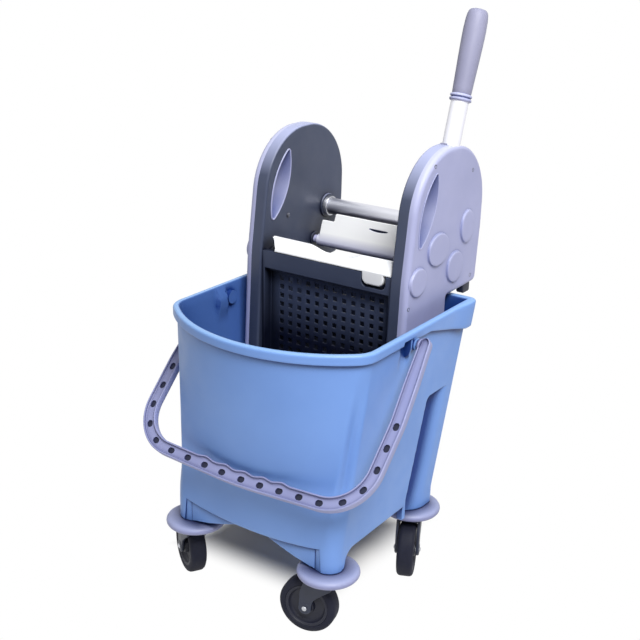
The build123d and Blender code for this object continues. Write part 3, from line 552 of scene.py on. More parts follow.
def dress(node, material):
    """Give a CAD node that stays in view its material."""
    piece = nodes[node]
    if not piece.material_slots:
        piece.data.materials.append(material)
    for slot in piece.material_slots:
        slot.link = "OBJECT"
        slot.material = material


# Bucket

TUB_FOOT_Z = 128.0
TUB_TOP_Z = 402.5
RIM_Z = 406.5
FLOOR_Z = 150.0
FLOOR_UNDER_Z = 146.5
WALL = 3.2
LEG_X = 113.0
LEG_Y = 107.0
LEG_FOOT_Z = 102.0
LEG_EDGE_Z = LEG_FOOT_Z + 0.6
LIP_FOOT_Z = 393.0
APRON_FOOT_Z = 369.0
BAIL_PIVOT = (15.0, 387.0)
RECESS_TOP_Z = 288.0
RECESS_DEPTH = 24.0
RECESS_LENGTH = 60.0
RECESS_ROUNDING = 9.0
COLUMN_RADIUS = 34.0
POCKET_DEPTH = 6.0
WAIST_DEPTH = 5.6
RIM_FLARE = 4.0

# Heights of the wall's rows, closer together at the recess's head
WALL_ROWS = [128 + 5.5 * k for k in range(28)] + [281.5 + 1.1 * k for k in range(12)]
WALL_ROWS += [296 + 6.0 * k for k in range(17)]

# Runs round the right half, from a share to a share in steps, closer together where the recess steps in
TUB_RUNS = (("front", 0, 1, 28), ("front_corner", 0, 1, 16), ("side", 0, 0.66, 44), ("side", 0.66, 0.76, 30),
            ("side", 0.76, 1, 20), ("rear_corner", 0, 1, 12), ("rear", 0, 1, 16))


class TubOutline:
    """Right half of the tub's plan outline at one height."""

    def __init__(self, width, front, corner, rear, front_radius, rear_radius):
        sag = corner - front
        self.bow = (width ** 2 + sag ** 2) / (2 * sag)
        self.bow_y = front + self.bow
        self.width = width
        self.rear = rear
        self.front_radius = front_radius
        self.rear_radius = rear_radius
        reach = self.bow - front_radius
        turn_x = width - front_radius
        self.turn = (turn_x, self.bow_y - sqrt(reach ** 2 - turn_x ** 2))
        self.lean = asin(turn_x / reach)

    def at(self, run, share):
        """Point and outward normal at a share of one run of the outline."""
        inner_x = self.width - self.rear_radius
        inner_y = self.rear - self.rear_radius
        middle, radius, angle = {
            "front": ((0, self.bow_y), self.bow, self.lean * share),
            "front_corner": (self.turn, self.front_radius, mix(self.lean, pi / 2, share)),
            "side": ((self.width, mix(self.turn[1], inner_y, share)), 0.0, pi / 2),
            "rear_corner": ((inner_x, inner_y), self.rear_radius, pi / 2 * (1 + share)),
            "rear": ((inner_x * (1 - share), self.rear), 0.0, pi)}[run]
        normal = Vector((sin(angle), -cos(angle)))
        return Vector(middle) + normal * radius, normal


TUB_FOOT = TubOutline(135.0, -133.0, -127.3, 129.0, 21.5, 8.0)
TUB_TOP = TubOutline(154.0, -160.5, -93.0, 168.0, 34.0, 3.0)


def recess_depth(y, z):
    """How far the side wall is set in before the rear leg."""
    front_y = mix(47.0, 76.0, (z - TUB_FOOT_Z) / (RECESS_TOP_Z - TUB_FOOT_Z))
    past = y - front_y
    below = RECESS_TOP_Z - z
    short = Vector((max(RECESS_ROUNDING - past, 0), max(RECESS_ROUNDING - below, 0)))
    out = short.length - RECESS_ROUNDING
    if past >= RECESS_ROUNDING and below >= RECESS_ROUNDING:
        out = -min(past, below)
    tail = held((RECESS_LENGTH - past) / COLUMN_RADIUS)
    column = COLUMN_RADIUS * (1 - sqrt(1 - tail * tail))
    return min(column, RECESS_DEPTH) * ease(-out / 2.4)


def pocket_depth(y, z):
    """How far the side wall is set in by the bail's lug, under the lip."""
    across = ease((y + 16.0) / 4.0) * ease((9.0 - y) / 3.0)
    return POCKET_DEPTH * across * ease((z - 352.0) / 34.0) if z < 398 else 0.0


def leg_foot(run, spot):
    """Lowest edge of the outer wall: the skirt, a leg's foot or the curve to a front leg."""
    x, y = spot
    rear_leg = run == "side" and y > 50.0 or run == "rear" and x > 92.0
    arch_y = -82.0
    if rear_leg or run in ("front_corner", "rear_corner"):
        return LEG_EDGE_Z
    if run == "front":
        return TUB_FOOT_Z + 8.0 * (x / LEG_X) ** 2
    if run == "side" and y < arch_y:
        sweep = min(1.0, (arch_y - y) / 22.0)
        return max(LEG_EDGE_Z, mix(104.0, TUB_FOOT_Z, sqrt(1 - sweep * sweep)))
    return TUB_FOOT_Z


def lip_foot(run, spot):
    """Lowest edge of the rim's lip, which is a deep apron at the rear."""
    if run in ("rear", "rear_corner"):
        return APRON_FOOT_Z
    if run == "side":
        return mix(LIP_FOOT_Z, APRON_FOOT_Z, held((spot.y - 54.0) / 100.0))
    return LIP_FOOT_Z


def tub_point(run, share, z, offset):
    """A point of the outer wall, moved out by an offset."""
    height = held((z - TUB_FOOT_Z) / (TUB_TOP_Z - TUB_FOOT_Z))
    low, low_normal = TUB_FOOT.at(run, share)
    high, high_normal = TUB_TOP.at(run, share)
    spot = low.lerp(high, height)
    normal = low_normal.lerp(high_normal, height).normalized()
    if run == "side":
        spot = spot - Vector((recess_depth(spot.y, max(z, TUB_FOOT_Z)) + pocket_depth(spot.y, z), 0))
    if run == "front_corner":
        waist = WAIST_DEPTH * ease((z - 138.0) / 80.0) * ease((396.0 - z) / 110.0)
        spot = spot - normal * waist * sin(pi * share) ** 2
    spot = spot + normal * offset
    return (spot.x, spot.y, z)


def tub_ring(run, share):
    """The tub's profile at one place, from the floor over the rim and back under."""
    top = TUB_TOP.at(run, share)[0]
    foot = leg_foot(run, TUB_FOOT.at(run, share)[0])
    lip = lip_foot(run, top)
    flare = RIM_FLARE * ease((top.y - 110.0) / 50.0)
    inside = [(FLOOR_Z, -13), (150.6, -9), (152.6, -5.6), (156, -3.8)]
    inside += [(z, -WALL) for z in WALL_ROWS if z > 159]
    inside += [(404.6, -WALL), (405.7, -2.9), (406.3, -2.2), (RIM_Z, -1.2), (RIM_Z + 0.15, 1)]
    rim = [(RIM_Z, 2.8), (406, 4.2), (405, 5.1), (403.4, 5.5)]
    rim += [(mix(403.0, lip + 1.4, k / 6), 5.5) for k in range(1, 7)]
    rim += [(lip + 0.5, 5.1), (lip, 4.3), (lip + 0.5, 3.5), (lip + 1.4, 3.1)]
    rim += [(mix(lip + 3.0, 400.0, k / 4), 3.1) for k in range(5)]
    outside = [(400.8, 2), (400.6, 0.6)]
    for z in reversed(WALL_ROWS):
        low = mix(foot + 2.0, FLOOR_Z, (z - TUB_FOOT_Z) / (FLOOR_Z - TUB_FOOT_Z))
        outside.append((z if z > FLOOR_Z else low, 0.0))
    under = [(foot + 0.8, -0.3), (foot + 0.2, -0.9), (foot, -1.6), (foot + 0.2, -2.4), (foot + 1, -WALL)]
    under += [(mix(foot + 4.0, FLOOR_UNDER_Z, k / 4), -WALL) for k in range(5)]
    under.append((FLOOR_UNDER_Z, -12.0))
    profile = inside + [(z, out + flare) for z, out in rim] + outside + under
    return [tub_point(run, share, z, offset) for z, offset in profile]


def tub_shell():
    """The whole shell, whose left half mirrors the right one."""
    columns = [(run, mix(start, end, k / steps)) for run, start, end, steps in TUB_RUNS for k in range(steps)]
    half = [tub_ring(run, share) for run, share in columns + [("rear", 1.0)]]
    left = [[(-x, y, z) for x, y, z in ring] for ring in reversed(half[1:-1])]
    return skin(list(zip(*half, *left)), True, True)


def leg_post(x, y):
    """The round post in a leg, which stands on the disc."""
    radius = 20.4 if y < 0 else 21.4
    profile = [(LEG_FOOT_Z, 0), (LEG_FOOT_Z, radius - 2.8), (LEG_EDGE_Z, radius - 0.8), (104, radius),
               (146, radius)]
    return skin(lathe(profile, ((x, y, 0), UP, RIGHT), 48))


def bail_lug(side):
    """The boss that the bail's pin turns in."""
    profile = [(143, 0), (143, 9.6), (150, 9), (158.6, 8.6), (159.7, 7.6), (159.9, 6.6), (159.9, 0)]
    return spun(profile, crossways(BAIL_PIVOT, side), 40)


def webs(side):
    """The web by a front leg, the rib before the lug and the block at the recess's foot."""
    web = [(104, 146), (24, 146), (24, 125), (48, 117), (72, 110), (92, 106), (104, 104)]
    rib = [(146, 398), (157.6, 398), (157.4, 384), (154.6, 374), (146, 368)]
    block = [(49, 104), (57, 104), (57, 140), (49, 140)]
    return [plate([rounded_path(web, [0, 0, 2, 20, 20, 6, 0])], -126, -122, 0.8, from_front(side)),
            plate([rounded_path(rib, [0, 1, 8, 4, 0])], 2.5, 6.5, 0.9, from_front(side)),
            plate([rounded_path(block, [1, 1, 1, 1], 0.5)], 122, 131.5, 1, from_side(side))]


def bucket():
    """The bucket: one moulding with its legs, webs and lugs."""
    meshes = [tub_shell()]
    meshes += [leg_post(x, y) for x in (-LEG_X, LEG_X) for y in (-LEG_Y, LEG_Y)]
    for side in (-1, 1):
        web, rib, block = webs(side)
        meshes += [web, bail_lug(side), rib, block]
    keep("tub", meshes, "bucket", BLUE, 38.0, "bucket")


bucket()


# Bumper discs and casters

# Each caster's side, end and heading in degrees
CASTERS = {"front_right": (1, -1, 191.6), "front_left": (-1, -1, 148.7),
           "rear_right": (1, 1, -66.0), "rear_left": (-1, 1, -160.0)}
TRAIL = 26.0
AXLE_Z = 40.0
EYE_RADIUS = 9.0
FORK_IN = 13.3
FORK_OUT = 17.2


def bumper(place, x, y):
    """The pale disc under a leg, with a domed top and a fat rim."""
    profile = [(102, 5.6), (102, 26), (101.8, 31), (101.3, 35), (100.4, 38.2), (98.9, 40.6),
               (97, 41.7), (95, 42), (93, 41.5), (91.2, 40.2), (89.7, 37.6), (89, 34),
               (89, 26), (90.6, 24.6), (90.6, 14), (89, 12.6), (89, 5.6)]
    axis = ((x, y, 0), UP, RIGHT)
    turned("disc_" + place, looped(profile), axis, "bucket", DISC, "bumper_" + place, 72)


def wheel(place, axle):
    """The tyre and the dished core in it."""
    tread = [(11, 30.4), (11.8, 31.2), (12, 33.6), (11.5, 36.2), (10.2, 38.4), (8, 39.7), (5.4, 40)]
    face = [(10.6, 30.5), (11.2, 29.9), (11.2, 28.6), (10.7, 28.2), (10.7, 26.9), (10.2, 26.2), (7.2, 25.4),
            (5.6, 23.6), (5.2, 20), (5.4, 14), (6.6, 11.6), (11.4, 10.4), (12, 9.6), (12, 4.15)]
    body = "wheel_" + place
    turned("tyre_" + place, looped(mirrored(tread)), axle, body, RUBBER, "caster_tyre_" + place, 80)
    turned("core_" + place, looped(mirrored(face)), axle, body, BLACK, "caster_wheel_" + place, 80)


def fork_outline():
    """A fork's leg from its side: broad at the crown, a sickle down to the axle."""
    angles = [radians(20 - 10 * k) for k in range(22)]
    eye = [Vector((TRAIL + EYE_RADIUS * cos(a), AXLE_Z + EYE_RADIUS * sin(a))) for a in angles]
    spine = rounded_path([eye[-1], (15, 54), (1, 66), (-10, 74), (-12.5, 86.4), (25.5, 86.4),
                          (33.5, 66.0), eye[0]], [0, 14, 18, 6, 2, 5, 30, 0])
    return eye + spine[1:-1]


def fork(place, local, axle):
    """The swivel fork: two legs, a crown and a boss outside each leg's eye."""
    outline = fork_outline()
    corners = [(-12, -FORK_OUT), (25, -FORK_OUT), (25, FORK_OUT), (-12, FORK_OUT)]
    crown = rounded_path(corners, [11, 8, 8, 11])
    meshes = [plate([outline], FORK_IN, FORK_OUT, 0.9, local),
              plate([outline], -FORK_OUT, -FORK_IN, 0.9, local),
              plate([crown], 80.8, 86.5, 1.6, lambda a, b, height: local(a, height, b))]
    boss = [(13.6, 0), (13.6, 8.4), (17.2, 8.2), (17.8, 7.4), (17.8, 0)]
    meshes += [spun([(way * along, radius) for along, radius in boss], axle, 40) for way in (1, -1)]
    keep("fork_" + place, meshes, "caster_" + place, FORK, 32, "caster_fork_" + place)


def caster(place, side, end, heading):
    """A bumper disc and the swivel caster under it."""
    x = side * LEG_X
    y = end * LEG_Y
    turn = radians(heading)
    forward = Vector((cos(turn), sin(turn), 0))
    across = Vector((-sin(turn), cos(turn), 0))

    def local(along, up, out):
        return tuple(Vector((x, y, up)) + forward * along + across * out)

    axle = (local(TRAIL, AXLE_Z, 0), across, forward)
    bumper(place, x, y)
    wheel(place, axle)
    fork(place, local, axle)
    rivet = mirrored([(-19.6, 0), (-19.6, 1.6), (-19.2, 2.7), (-18.4, 3.4), (-17.7, 3.4)])
    turned("axle_" + place, rivet, axle, "caster_" + place, STEEL, "caster_axle_" + place, 32)
    dress("caster_stem_" + place, STEEL)


for place, setting in CASTERS.items():
    caster(place, *setting)


# Bail

BAIL_LEAN = 44.5
BAIL_PLANE = leaning(BAIL_PIVOT, BAIL_LEAN)
BAIL_STEP = 2.0
BAIL_HOLE_PITCH = 30.4
BAIL_HOLE_SHIFT = 5.0
BAIL_PIN_END = 165.5
FINGERS = (-58, -24, 8, 38, 66)
FINGER_SWELL = 2.6
FINGER_REACH = 15.0


def bail_space(x, along, out):
    """A point of the bail's own plane: along runs down its arms, out faces away from the bucket."""
    return BAIL_PLANE(x, -along, out)


def scallop(x):
    """How far the front bar's inner edge swells between the fingers."""
    return FINGER_SWELL * sum(ease(1 - abs(x - middle) / FINGER_REACH) for middle in FINGERS)


def bail_section(half, swell):
    """The strap's section in (across, depth): two rounded lips and a thin web."""
    lip = [(0, -4.2), (0, 4.2), (-0.45, 5.1), (-1.3, 5.5), (-2.1, 5.2), (-2.6, 4.4), (-3, 2.9), (-3.9, 2.1)]
    inner = [(half + swell + w, d) for w, d in lip]
    outer = [(-half - w, d) for w, d in reversed(lip)]
    front = inner[1:] + outer[:-1]
    return front + [(w, -d) for w, d in reversed(front)]


def bail_ways(path, k):
    """The ways along the strap and inward across it."""
    along = (path[min(k + 1, len(path) - 1)] - path[max(k - 1, 0)]).normalized()
    return along, Vector((along.y, -along.x))


def bail_strap(path):
    """The strap along its path, narrower and rounded at its ends."""
    rings = []
    for k, spot in enumerate(path):
        inward = bail_ways(path, k)[1]
        near_end = min(k, len(path) - 1 - k) * BAIL_STEP
        rounding = min(1.0, (near_end + 0.6) / 9.0)
        half = mix(8.0, 9.5, ease(near_end / 70.0)) * sqrt(rounding * (2 - rounding))
        swell = scallop(spot.x) if spot.y > 200 else 0.0
        ring = []
        for across, depth in bail_section(half, swell):
            ring.append(bail_space(spot.x + inward.x * across, spot.y + inward.y * across, depth))
        rings.append(ring)
    return skin(rings, True, True)


def bail_oval(path, k, length, width):
    """The outline of a round-ended hole in the strap."""
    along, inward = bail_ways(path, k)
    outline = []
    for cosine, sine in circle(28):
        shift = copysign((length - width) / 2, cosine)
        outline.append(path[k] + along * (shift + width / 2 * cosine) + inward * (width / 2 * sine))
    return outline


def bail_pivot(side, word):
    """A pivot pin, which stops under the strap."""
    left, right, _, radius = extent("bail_pin_" + word)
    inner = min(abs(left), abs(right))
    profile = [(inner, 0), (inner, radius - 0.5), (inner + 0.5, radius), (BAIL_PIN_END - 0.5, radius),
               (BAIL_PIN_END, 0)]
    axis = crossways(BAIL_PIVOT, side)
    turned("bail_pivot_" + word, profile, axis, "bail", STEEL, "bail_pin_" + word, 32)


def bail():
    """The carrying handle: a strap with slots, their dark floors as painted shade, bosses and pins."""
    corners = [(-170.2, -9), (-181, 112), (-181, 234), (0, 243), (181, 234), (181, 112), (170.2, -9)]
    path = even_path(rounded_path(corners, [0, 200, 60, 700, 60, 200, 0], 1.5), BAIL_STEP)
    last = len(path) - 1
    holes = []
    shade_floors = []
    for number in range(-9, 10):
        k = last / 2 + (number * BAIL_HOLE_PITCH + BAIL_HOLE_SHIFT) * last / path_lengths(path)[-1]
        k = min(max(round(k), 1), last - 1)
        holes.append(prism(bail_oval(path, k, 10.8, 8.2), -9.0, 9.0, bail_space))
        # Each hole gets a dark floor: painted shade in the hole
        shade_floors.append(prism(bail_oval(path, k, 10.9, 8.3), -2.0, -0.3, bail_space))
    keep("bail_hole_shade_floors", shade_floors, "bail", PAINTED_SHADE_NAVY, 30)
    boss = [(161.2, 0), (161.2, 6.9), (161.9, 7.8), (163, 8.3), (164.6, 8.3), (165.6, 7.4), (166, 5.4),
            (166.4, 0)]
    meshes = [carve(bail_strap(path), [joined("holes", holes)])]
    meshes += [spun(boss, crossways(BAIL_PIVOT, side), 40) for side in (-1, 1)]
    keep("bail_strap", meshes, "bail", BAIL, 32, "bail")
    for side, word in SIDES:
        bail_pivot(side, word)


bail()


# Wringer housings: a dark inner half and a pale cover, both hollow

INNER_X = 105.0
SEAM_X = 121.5
OUTER_X = 132.0
HOUSING_WALL = 2.4
COVER_WALL = 5.0
SLEEVE_ROOM = 2.2
JOURNAL_BORE = 9.05
THROUGH = (90, 150)
LEVER = (109.0, 487.0)
REAR_JAW = (161.0, 448.0)
FRONT_JAW = (57.0, 448.0)
HOUSING = rounded_path([(141, 412), (141, 300), (23, 300), (30.5, 455), (53, 621), (233.5, 621),
                        (233.5, 500), (226, 414)], [2, 8, 8, 300, 91, 89, 200, 10], 2)
WHOLE_SIDE = [(-50, 200), (400, 200), (400, 800), (-50, 800)]

# Middles, widths and heights of the raised ovals on a cover, and the places of its screws
COVER_OVALS = (((106, 487.5), 27.5, 22.5), ((156, 452), 22.5, 22), ((56, 454), 21, 19.5),
               ((186, 503), 18.5, 23.5))
COVER_SCREWS = ((88, 602), (207, 427), (36, 422), (128, 312), (194, 580))
FRAME_SCREW = (93.5, 497.5)


def arc_through(first, middle, last, count):
    """Points on the circle through three points, clear of its two ends."""
    a, b, c = (Vector(p) for p in (first, middle, last))
    d = 2 * (a.x * (b.y - c.y) + b.x * (c.y - a.y) + c.x * (a.y - b.y))
    centre = Vector(((a.length_squared * (b.y - c.y) + b.length_squared * (c.y - a.y)
                      + c.length_squared * (a.y - b.y)) / d,
                     (a.length_squared * (c.x - b.x) + b.length_squared * (a.x - c.x)
                      + c.length_squared * (b.x - a.x)) / d))
    start = a - centre
    sweep = start.angle_signed(b - centre) + (b - centre).angle_signed(c - centre)
    turns = [-sweep * mix(0.13, 0.87, k / (count - 1)) for k in range(count)]
    return [centre + Matrix.Rotation(turn, 2) @ start for turn in turns]


def hand_slot():
    """The crescent hand hole's outline."""
    top = (95, 593.5)
    foot = (56, 496.5)
    front = arc_through(top, (59, 543), foot, 18)
    back = arc_through(foot, (88, 533), top, 18)
    corners = [Vector(top)] + front + [Vector(foot)] + back
    radii = [2.6] + [0] * len(front) + [3.4] + [0] * len(back)
    return rounded_path(corners, radii, 0.8)


SLOT = hand_slot()


def drum(centre, radius, space):
    """A round cutter right through a housing."""
    outline = [(centre[0] + radius * cosine, centre[1] + radius * sine) for cosine, sine in circle(40)]
    return prism(outline, *THROUGH, space)


def lever_sweep():
    """The sector, seen from the side, that the lever's arm needs clear."""
    angles = [radians(90 - degrees) for degrees in [12.6] + list(range(15, 99, 3))]
    edge = [(200, angle) for angle in angles] + [(64, angle) for angle in reversed(angles)]
    return [Vector((LEVER[0] + reach * cos(angle), LEVER[1] + reach * sin(angle)))
            for reach, angle in edge]


def raised_oval(centre, width, height, side):
    """An oval plateau on the cover, with a steep rounded edge."""
    edge = [(130, 0.8), (131.9, 0.7), (132.4, 0.1), (133.8, -0.3), (134.8, -1), (135.3, -2.2), (135.4, -3.6)]
    profile = [(x, width + out) for x, out in edge] + [(135.4, 0)]
    return spun(profile, crossways(centre, side), 72, height / width)


def sleeve(side):
    """The cover's collar that lines the hand hole."""
    profile = [(104.4, 0), (103.9, 0.5), (103.7, 1.2), (104, 2), (105.4, 2.5), (131.4, 2.5), (132.5, 1.9),
               (132.9, 1.1), (132.6, 0.3), (131.8, -0.1), (118, -0.3), (105.6, -0.2)]
    return skin([[(side * x, a, b) for a, b in grown(SLOT, out)] for x, out in looped(profile)])


def housing(side, word):
    """A housing's frame and cover, cut at the seam and hollowed, and its rest."""
    space = from_side(side)
    hand_hole = grown(SLOT, SLEEVE_ROOM)
    frame_cuts = [prism(WHOLE_SIDE, SEAM_X, 200, space),
                  prism(grown(HOUSING, -HOUSING_WALL), INNER_X + HOUSING_WALL, 150, space),
                  prism(hand_hole, *THROUGH, space)]
    frame_cuts += [drum(centre, JOURNAL_BORE, space) for centre in (REAR_JAW, FRONT_JAW)]
    cover_cuts = [prism(WHOLE_SIDE, 100, SEAM_X, space),
                  prism(grown(HOUSING, -COVER_WALL), 100, OUTER_X - HOUSING_WALL, space),
                  prism(hand_hole, *THROUGH, space)]
    if side > 0:
        for cuts in (frame_cuts, cover_cuts):
            cuts.append(prism(lever_sweep(), INNER_X + HOUSING_WALL, OUTER_X - HOUSING_WALL, space))
    shell = carve(plate([HOUSING], INNER_X, INNER_X + 36.0, 3.4, space, 4), frame_cuts)
    cover = carve(plate([HOUSING], OUTER_X - 20.0, OUTER_X, 7.0, space, 6), cover_cuts)
    ovals = [raised_oval(*oval, side) for oval in COVER_OVALS]
    foot = rounded_path([(192, 402), (212, 402), (212, 418), (192, 418)], [4, 3, 2, 2])
    keep("rest_" + word, [plate([foot], 119.0, 130.0, 1.5, space)], "wringer", BLACK, 30)
    level(keep("frame_" + word, [shell], "wringer", DARK, 30, "side_frame_" + word))
    level(keep("cover_" + word, [cover, sleeve(side)] + ovals, "wringer", PALE, 30, "side_cover_" + word))


def screws(side, word):
    """Sunk screw heads on the cover, and the one on the frame's inner face."""
    head = [(126, 0), (126, 2.9), (131.9, 2.9), (132.3, 2.5), (132.2, 2), (131.2, 1.7), (131, 0)]
    inner = [(107, 0), (107, 3.4), (104.4, 3.4), (103.8, 2.7), (103.6, 1.6), (104.1, 1.1), (104.3, 0)]
    meshes = [spun(head, crossways(spot, side), 24) for spot in COVER_SCREWS]
    meshes.append(spun(inner, crossways(FRAME_SCREW, side), 24))
    keep("screws_" + word, meshes, "wringer", SCREW, 40, "cover_screws_" + word)


for side, word in SIDES:
    housing(side, word)
    screws(side, word)


# Tie tube, lever and the rest of the wringer

ROLL_END = 97.0
JOURNAL_RADIUS = 6.0
LEVER_LEAN = 17.7
REAR_JAW_LEAN = 16.0
FRONT_JAW_LEAN = -15.0
DIP_DEPTH = 8.0


def tie():
    """The polished tie tube, with a dark seat and a steel cup at each end."""
    tube = mirrored([(-101, 0), (-101, 11.4), (-100.4, 12)])
    turned("tie_tube_polished", tube, crossways(TIE), "wringer", CHROME, "tie_tube")
    seat = [(107.2, 12.05), (107.2, 17.6), (105, 18), (103.6, 17.9), (102.5, 17.2), (102.1, 16),
            (102.1, 12.05)]
    cup = [(102.6, 12.02), (102.6, 15), (97.4, 14.9), (96.3, 14.4), (95.9, 13.4), (96.2, 12.5), (97.2, 12.02)]
    for side, word in SIDES:
        axis = crossways(TIE, side)
        turned("tie_seat_" + word, looped(seat), axis, "wringer", DARK, None, 56)
        turned("tie_cup_" + word, looped(cup), axis, "wringer", STEEL, "tie_flange_" + word, 56)


def lever():
    """The bare tube, the ridged collar and the barrel grip on one line."""
    lean = radians(LEVER_LEAN)
    axis = ((118.5, *LEVER), (0, sin(lean), cos(lean)), RIGHT)
    tube = [(124, 0), (124, 12), (200, 12), (212, 12), (212, 0)]
    turned("lever_tube_drawn", tube, axis, "lever", ALUMINIUM, "lever_tube", 56)
    collar = [(196.6, 12.05), (196.6, 12.9), (197, 14), (198.2, 14.9), (199.6, 14.9), (200.5, 14.2),
              (200.9, 12.9), (201.6, 12.7), (202.1, 13.6), (203, 14.7), (204.4, 14.8), (205.5, 14.2),
              (206.2, 12.8), (206.2, 12.05)]
    turned("grip_collar_ridged", looped(collar), axis, "lever", PALE, "grip_collar", 56)
    grip = [(206.3, 12.05), (206.3, 12.4), (207.4, 12.9), (214, 13.2), (232, 13.8), (254, 14.6),
            (276, 15.2), (292, 15.3), (304, 14.8), (311, 13.9), (315, 12.6), (317.2, 10.4),
            (318, 7.6), (318, 0)]
    turned("lever_grip_barrel", grip, axis, "lever", GRIP, "lever_grip", 64, 40)


def spring():
    """The return spring round the lever's pivot, as a close coil."""
    left, right, middle, outside = extent("return_spring")
    wire = 1.2
    turns = 2.4
    steps = 120
    radius = outside - wire
    rings = []
    for k in range(steps + 1):
        angle = 2 * pi * turns * k / steps
        x = mix(left + wire, right - wire, k / steps)
        spoke = Vector((0, cos(angle), sin(angle)))
        ring = []
        for cosine, sine in circle(10):
            spot = Vector((x, *middle)) + spoke * (radius + wire * cosine)
            ring.append(tuple(spot + Vector((wire * sine, 0, 0))))
        rings.append(ring)
    keep("return_coil", [skin(rings, True, True)], "lever", STEEL, 40, "return_spring")


def journal(pivot, node, radius):
    """A jaw's rolled hinge edge with its journals at both ends."""
    left, right = extent(node)[:2]
    roll = mirrored([(-ROLL_END - 0.6, JOURNAL_RADIUS), (-ROLL_END, radius - 1.6), (-96.4, radius - 0.5),
                     (-95.2, radius)])
    profile = [(left, 0), (left, JOURNAL_RADIUS - 0.6), (left + 0.6, JOURNAL_RADIUS)] + roll
    profile += [(right - 0.6, JOURNAL_RADIUS), (right, JOURNAL_RADIUS - 0.6), (right, 0)]
    return spun(profile, crossways(pivot), 48)


def rear_jaw():
    """The rear flap, which runs into its hinge roll and has notched corners."""
    space = leaning(REAR_JAW, REAR_JAW_LEAN)
    corners = mirrored([(92, -2), (91, 30), (70.5, 30), (69.5, 42)])
    outline = rounded_path(corners, [0, 2, 2, 2.5, 2.5, 2, 2, 0], 0.8)
    slit = [(6.0 + 15.5 * cosine, 29.6 + 1.5 * sine - 0.9 * sine ** 2) for cosine, sine in circle(32)]
    # A dark floor in the slit: painted shade in the dip
    keep("slit_shade_floor", [prism(slit, 4.4, 6.4, space)], "rear_jaw", PAINTED_SHADE_NAVY, 30)
    meshes = [plate([outline, slit], 3.4, 9.2, 1.0, space), journal(REAR_JAW, "rear_jaw", 9.2)]
    level(keep("rear_flap", meshes, "rear_jaw", PAINTED_SHADE_WHITE, 34, "rear_jaw"))


def front_dip(x):
    """How far the front flap's top edge dips for a mop handle."""
    return DIP_DEPTH * ease(1.5 - abs(x - 7) / 30)


def front_apron():
    """The sloped sheet from the flap's top edge down over the bar."""
    nose = [(35.2, 460.3), (35, 461.4), (35.4, 462.4)]
    slope = [(36.4, 463.6), (38.6, 466.2), (41, 469), (43.6, 472), (45.4, 474.4), (46.4, 475.6), (49, 475.4)]
    front_y = slope[0][0]
    rise = slope[-1][0] - front_y
    rings = []
    for x in [-ROLL_END] + [2.0 * k for k in range(-48, 49)] + [ROLL_END]:
        near = mix(-85.0, 103.4, (x + ROLL_END) / (2 * ROLL_END))
        ring = [(near, y, z) for y, z in nose]
        for y, z in slope:
            share = (y - front_y) / rise
            ring.append((mix(near, x, share), y, z - front_dip(x) * share))
        rings.append(ring + [(mix(x, near, 0.8), 54, 466), (near, 55, 460.3)])
    return skin(rings, True, True)


def front_jaw():
    """The front flap, with its apron and the tab that lies in the bar's notch."""
    space = leaning(FRONT_JAW, FRONT_JAW_LEAN)
    top = [(x, 29.4 - front_dip(x)) for x in range(54, -41, -2)]
    outline = [(ROLL_END, -2), (ROLL_END, 30)] + top + [(-ROLL_END, 30), (-93, 14), (-93, -2)]
    corners = [(58.4, 463), (58.4, 443.6), (92, 443.6), (92, 463)]
    tongue = rounded_path(corners, [0, 9, 9, 0], 0.8)
    meshes = [plate([outline], -3.0, 3.0, 1.0, space), front_apron(),
              plate([tongue], 35.0, 46.0, 2.2, from_front(1)), journal(FRONT_JAW, "front_jaw", 7.0)]
    level(keep("front_flap", meshes, "front_jaw", PLAIN_WHITE, 34, "front_jaw"))


def pin(node, end):
    """A plain pivot pin that stops under the cover."""
    left, _, middle, radius = extent(node)
    profile = [(left, 0), (left, radius - 0.5), (left + 0.5, radius), (end - 0.5, radius),
               (end, radius - 0.5), (end, 0)]
    turned(node + "_turned", profile, crossways(middle), "wringer", STEEL, node, 40)


tie()
lever()
spring()
rear_jaw()
front_jaw()
pin("idler_pin", 130.5)
pin("lever_pivot_pin", 131.5)

# CAD nodes that stay in view, with the width of their rounded edges
DRESSED = (("front_panel", PANEL, 1.0), ("rear_panel", INSIDE, 0.8), ("sieve_floor", INSIDE, 0.6),
           ("lever_hub", GRIP, 0.7), ("rear_pinion", GEAR, 0.3), ("front_pinion", GEAR, 0.3),
           ("idler_gear", GEAR, 0.3), ("jaw_bushes", DARK, 0.4))
for node, material, width in DRESSED:
    dress(node, material)
    soften(nodes[node], width)


# Camera, light and floor

CAMERA_PLACE = (818.3, -1182.0, 913.5)
CAMERA_TURNS = (34.11, -20.05, 1.36)
FOCAL_PIXELS = 1135.73
IMAGE_PIXELS = 640
SENSOR = 36.0
LAMP_SIZE = 1.2
SURROUND_LIGHT = 0.14

# Where the floor's shadow fades out, in metres: at the right, the left, the front and the rear
SHADOW_EDGES = (("X", 0.02, 0.09), ("X", -0.16, -0.21), ("Y", 0, -0.07), ("Y", 0.17, 0.25))
FLOOR_HALF = 20


def camera():
    """The photograph's viewpoint, with its slight roll."""
    yaw, pitch, roll = (radians(angle) for angle in CAMERA_TURNS)
    ahead = Vector((-sin(yaw) * cos(pitch), cos(yaw) * cos(pitch), sin(pitch)))
    level_line = Vector((cos(yaw), sin(yaw), 0))
    upward = level_line.cross(ahead)
    right = level_line * cos(roll) + upward * sin(roll)
    up = upward * cos(roll) - level_line * sin(roll)
    data = bpy.data.cameras.new("camera")
    data.sensor_width = SENSOR
    data.lens = FOCAL_PIXELS / IMAGE_PIXELS * SENSOR
    data.clip_end = 50.0
    eye = added("camera", data)
    turn = Matrix((right, up, -ahead)).transposed().to_4x4()
    eye.matrix_world = Matrix.Translation(point(*CAMERA_PLACE)) @ turn
    scene.camera = eye


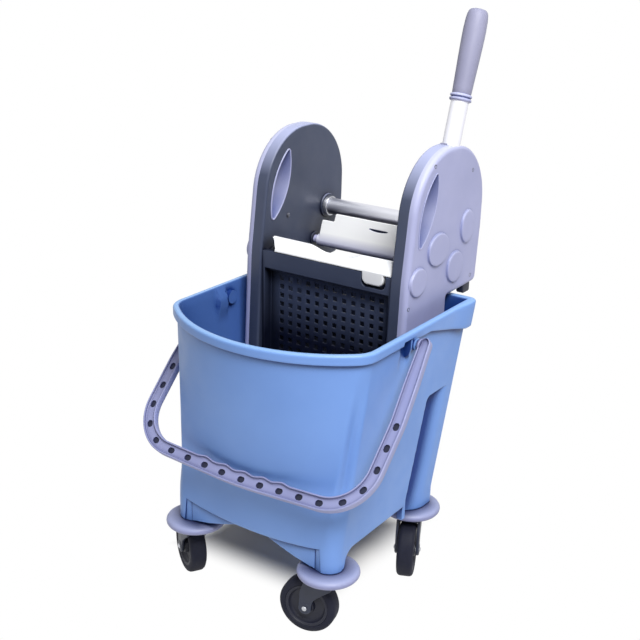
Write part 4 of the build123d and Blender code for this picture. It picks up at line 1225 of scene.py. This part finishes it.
def lamp(name, place, target, power):
    """A soft square light aimed at a point, in metres and watts."""
    data = bpy.data.lights.new(name, "AREA")
    data.size = LAMP_SIZE
    data.energy = power
    light = added(name, data)
    light.location = place
    light.rotation_euler = (Vector(target) - Vector(place)).to_track_quat("-Z", "Y").to_euler()


def seen_directly(tree):
    """1 for rays from the camera and for mirror-like and clear ones, else 0."""
    rays = add_node(tree, "LightPath").outputs
    both = combine(tree, "ADD", rays["Is Camera Ray"], rays["Is Glossy Ray"])
    return combine(tree, "ADD", both, rays["Is Transmission Ray"], True)


def floor_material():
    """White floor that takes the shadow under the object and is plain white round it."""
    surface = Surface("floor", {"Roughness": 0.8, "Specular IOR Level": 0.1})
    surface.colour(surface.noise(3, 2), (246, 240, 230), (250, 246, 238))
    tree = surface.tree
    plain = 0.0
    for axis, start, end in SHADOW_EDGES:
        past = surface.span(surface.part_of(surface.place, axis), start, end, course="SMOOTHSTEP")
        plain = combine(tree, "MAXIMUM", plain, past)
    share = combine(tree, "MULTIPLY", plain, seen_directly(tree))
    white = surface.node("Emission", {"Color": (1, 1, 1, 1)}).outputs["Emission"]
    both = surface.node("MixShader", {"Fac": share, 1: surface.shader.outputs["BSDF"], 2: white})
    fill(tree, tree.nodes["Material Output"], {"Surface": both.outputs["Shader"]})
    return surface.material


def floor():
    """A wide floor, with its middle midway between the casters."""
    corners = [(x * FLOOR_HALF, y * FLOOR_HALF, 0) for x, y in ((-1, -1), (1, -1), (1, 1), (-1, 1))]
    mesh = bpy.data.meshes.new("floor")
    mesh.from_pydata(corners, [], [(0, 1, 2, 3)])
    mesh.materials.append(floor_material())
    sheet = added("floor", mesh)
    sheet.location = (0, SHIFT * MM, 0)


def surround():
    """A surround that is white to look at and lights the object softly."""
    world = bpy.data.worlds.new("surround")
    world.use_nodes = True
    scene.world = world
    tree = world.node_tree
    inputs = {"Value": seen_directly(tree), "To Min": SURROUND_LIGHT, "To Max": 1.0}
    strength = add_node(tree, "MapRange", inputs).outputs["Result"]
    fill(tree, tree.nodes["Background"], {"Color": (1, 1, 1, 1), "Strength": strength})


camera()
floor()
surround()
lamp("key", (1.5, -1.2, 2.6), (0, 0, 0.35), 100)
lamp("top", (0.3, -0.2, 2.7), (0, 0, 0.3), 16)
scene.view_settings.view_transform = "Standard"
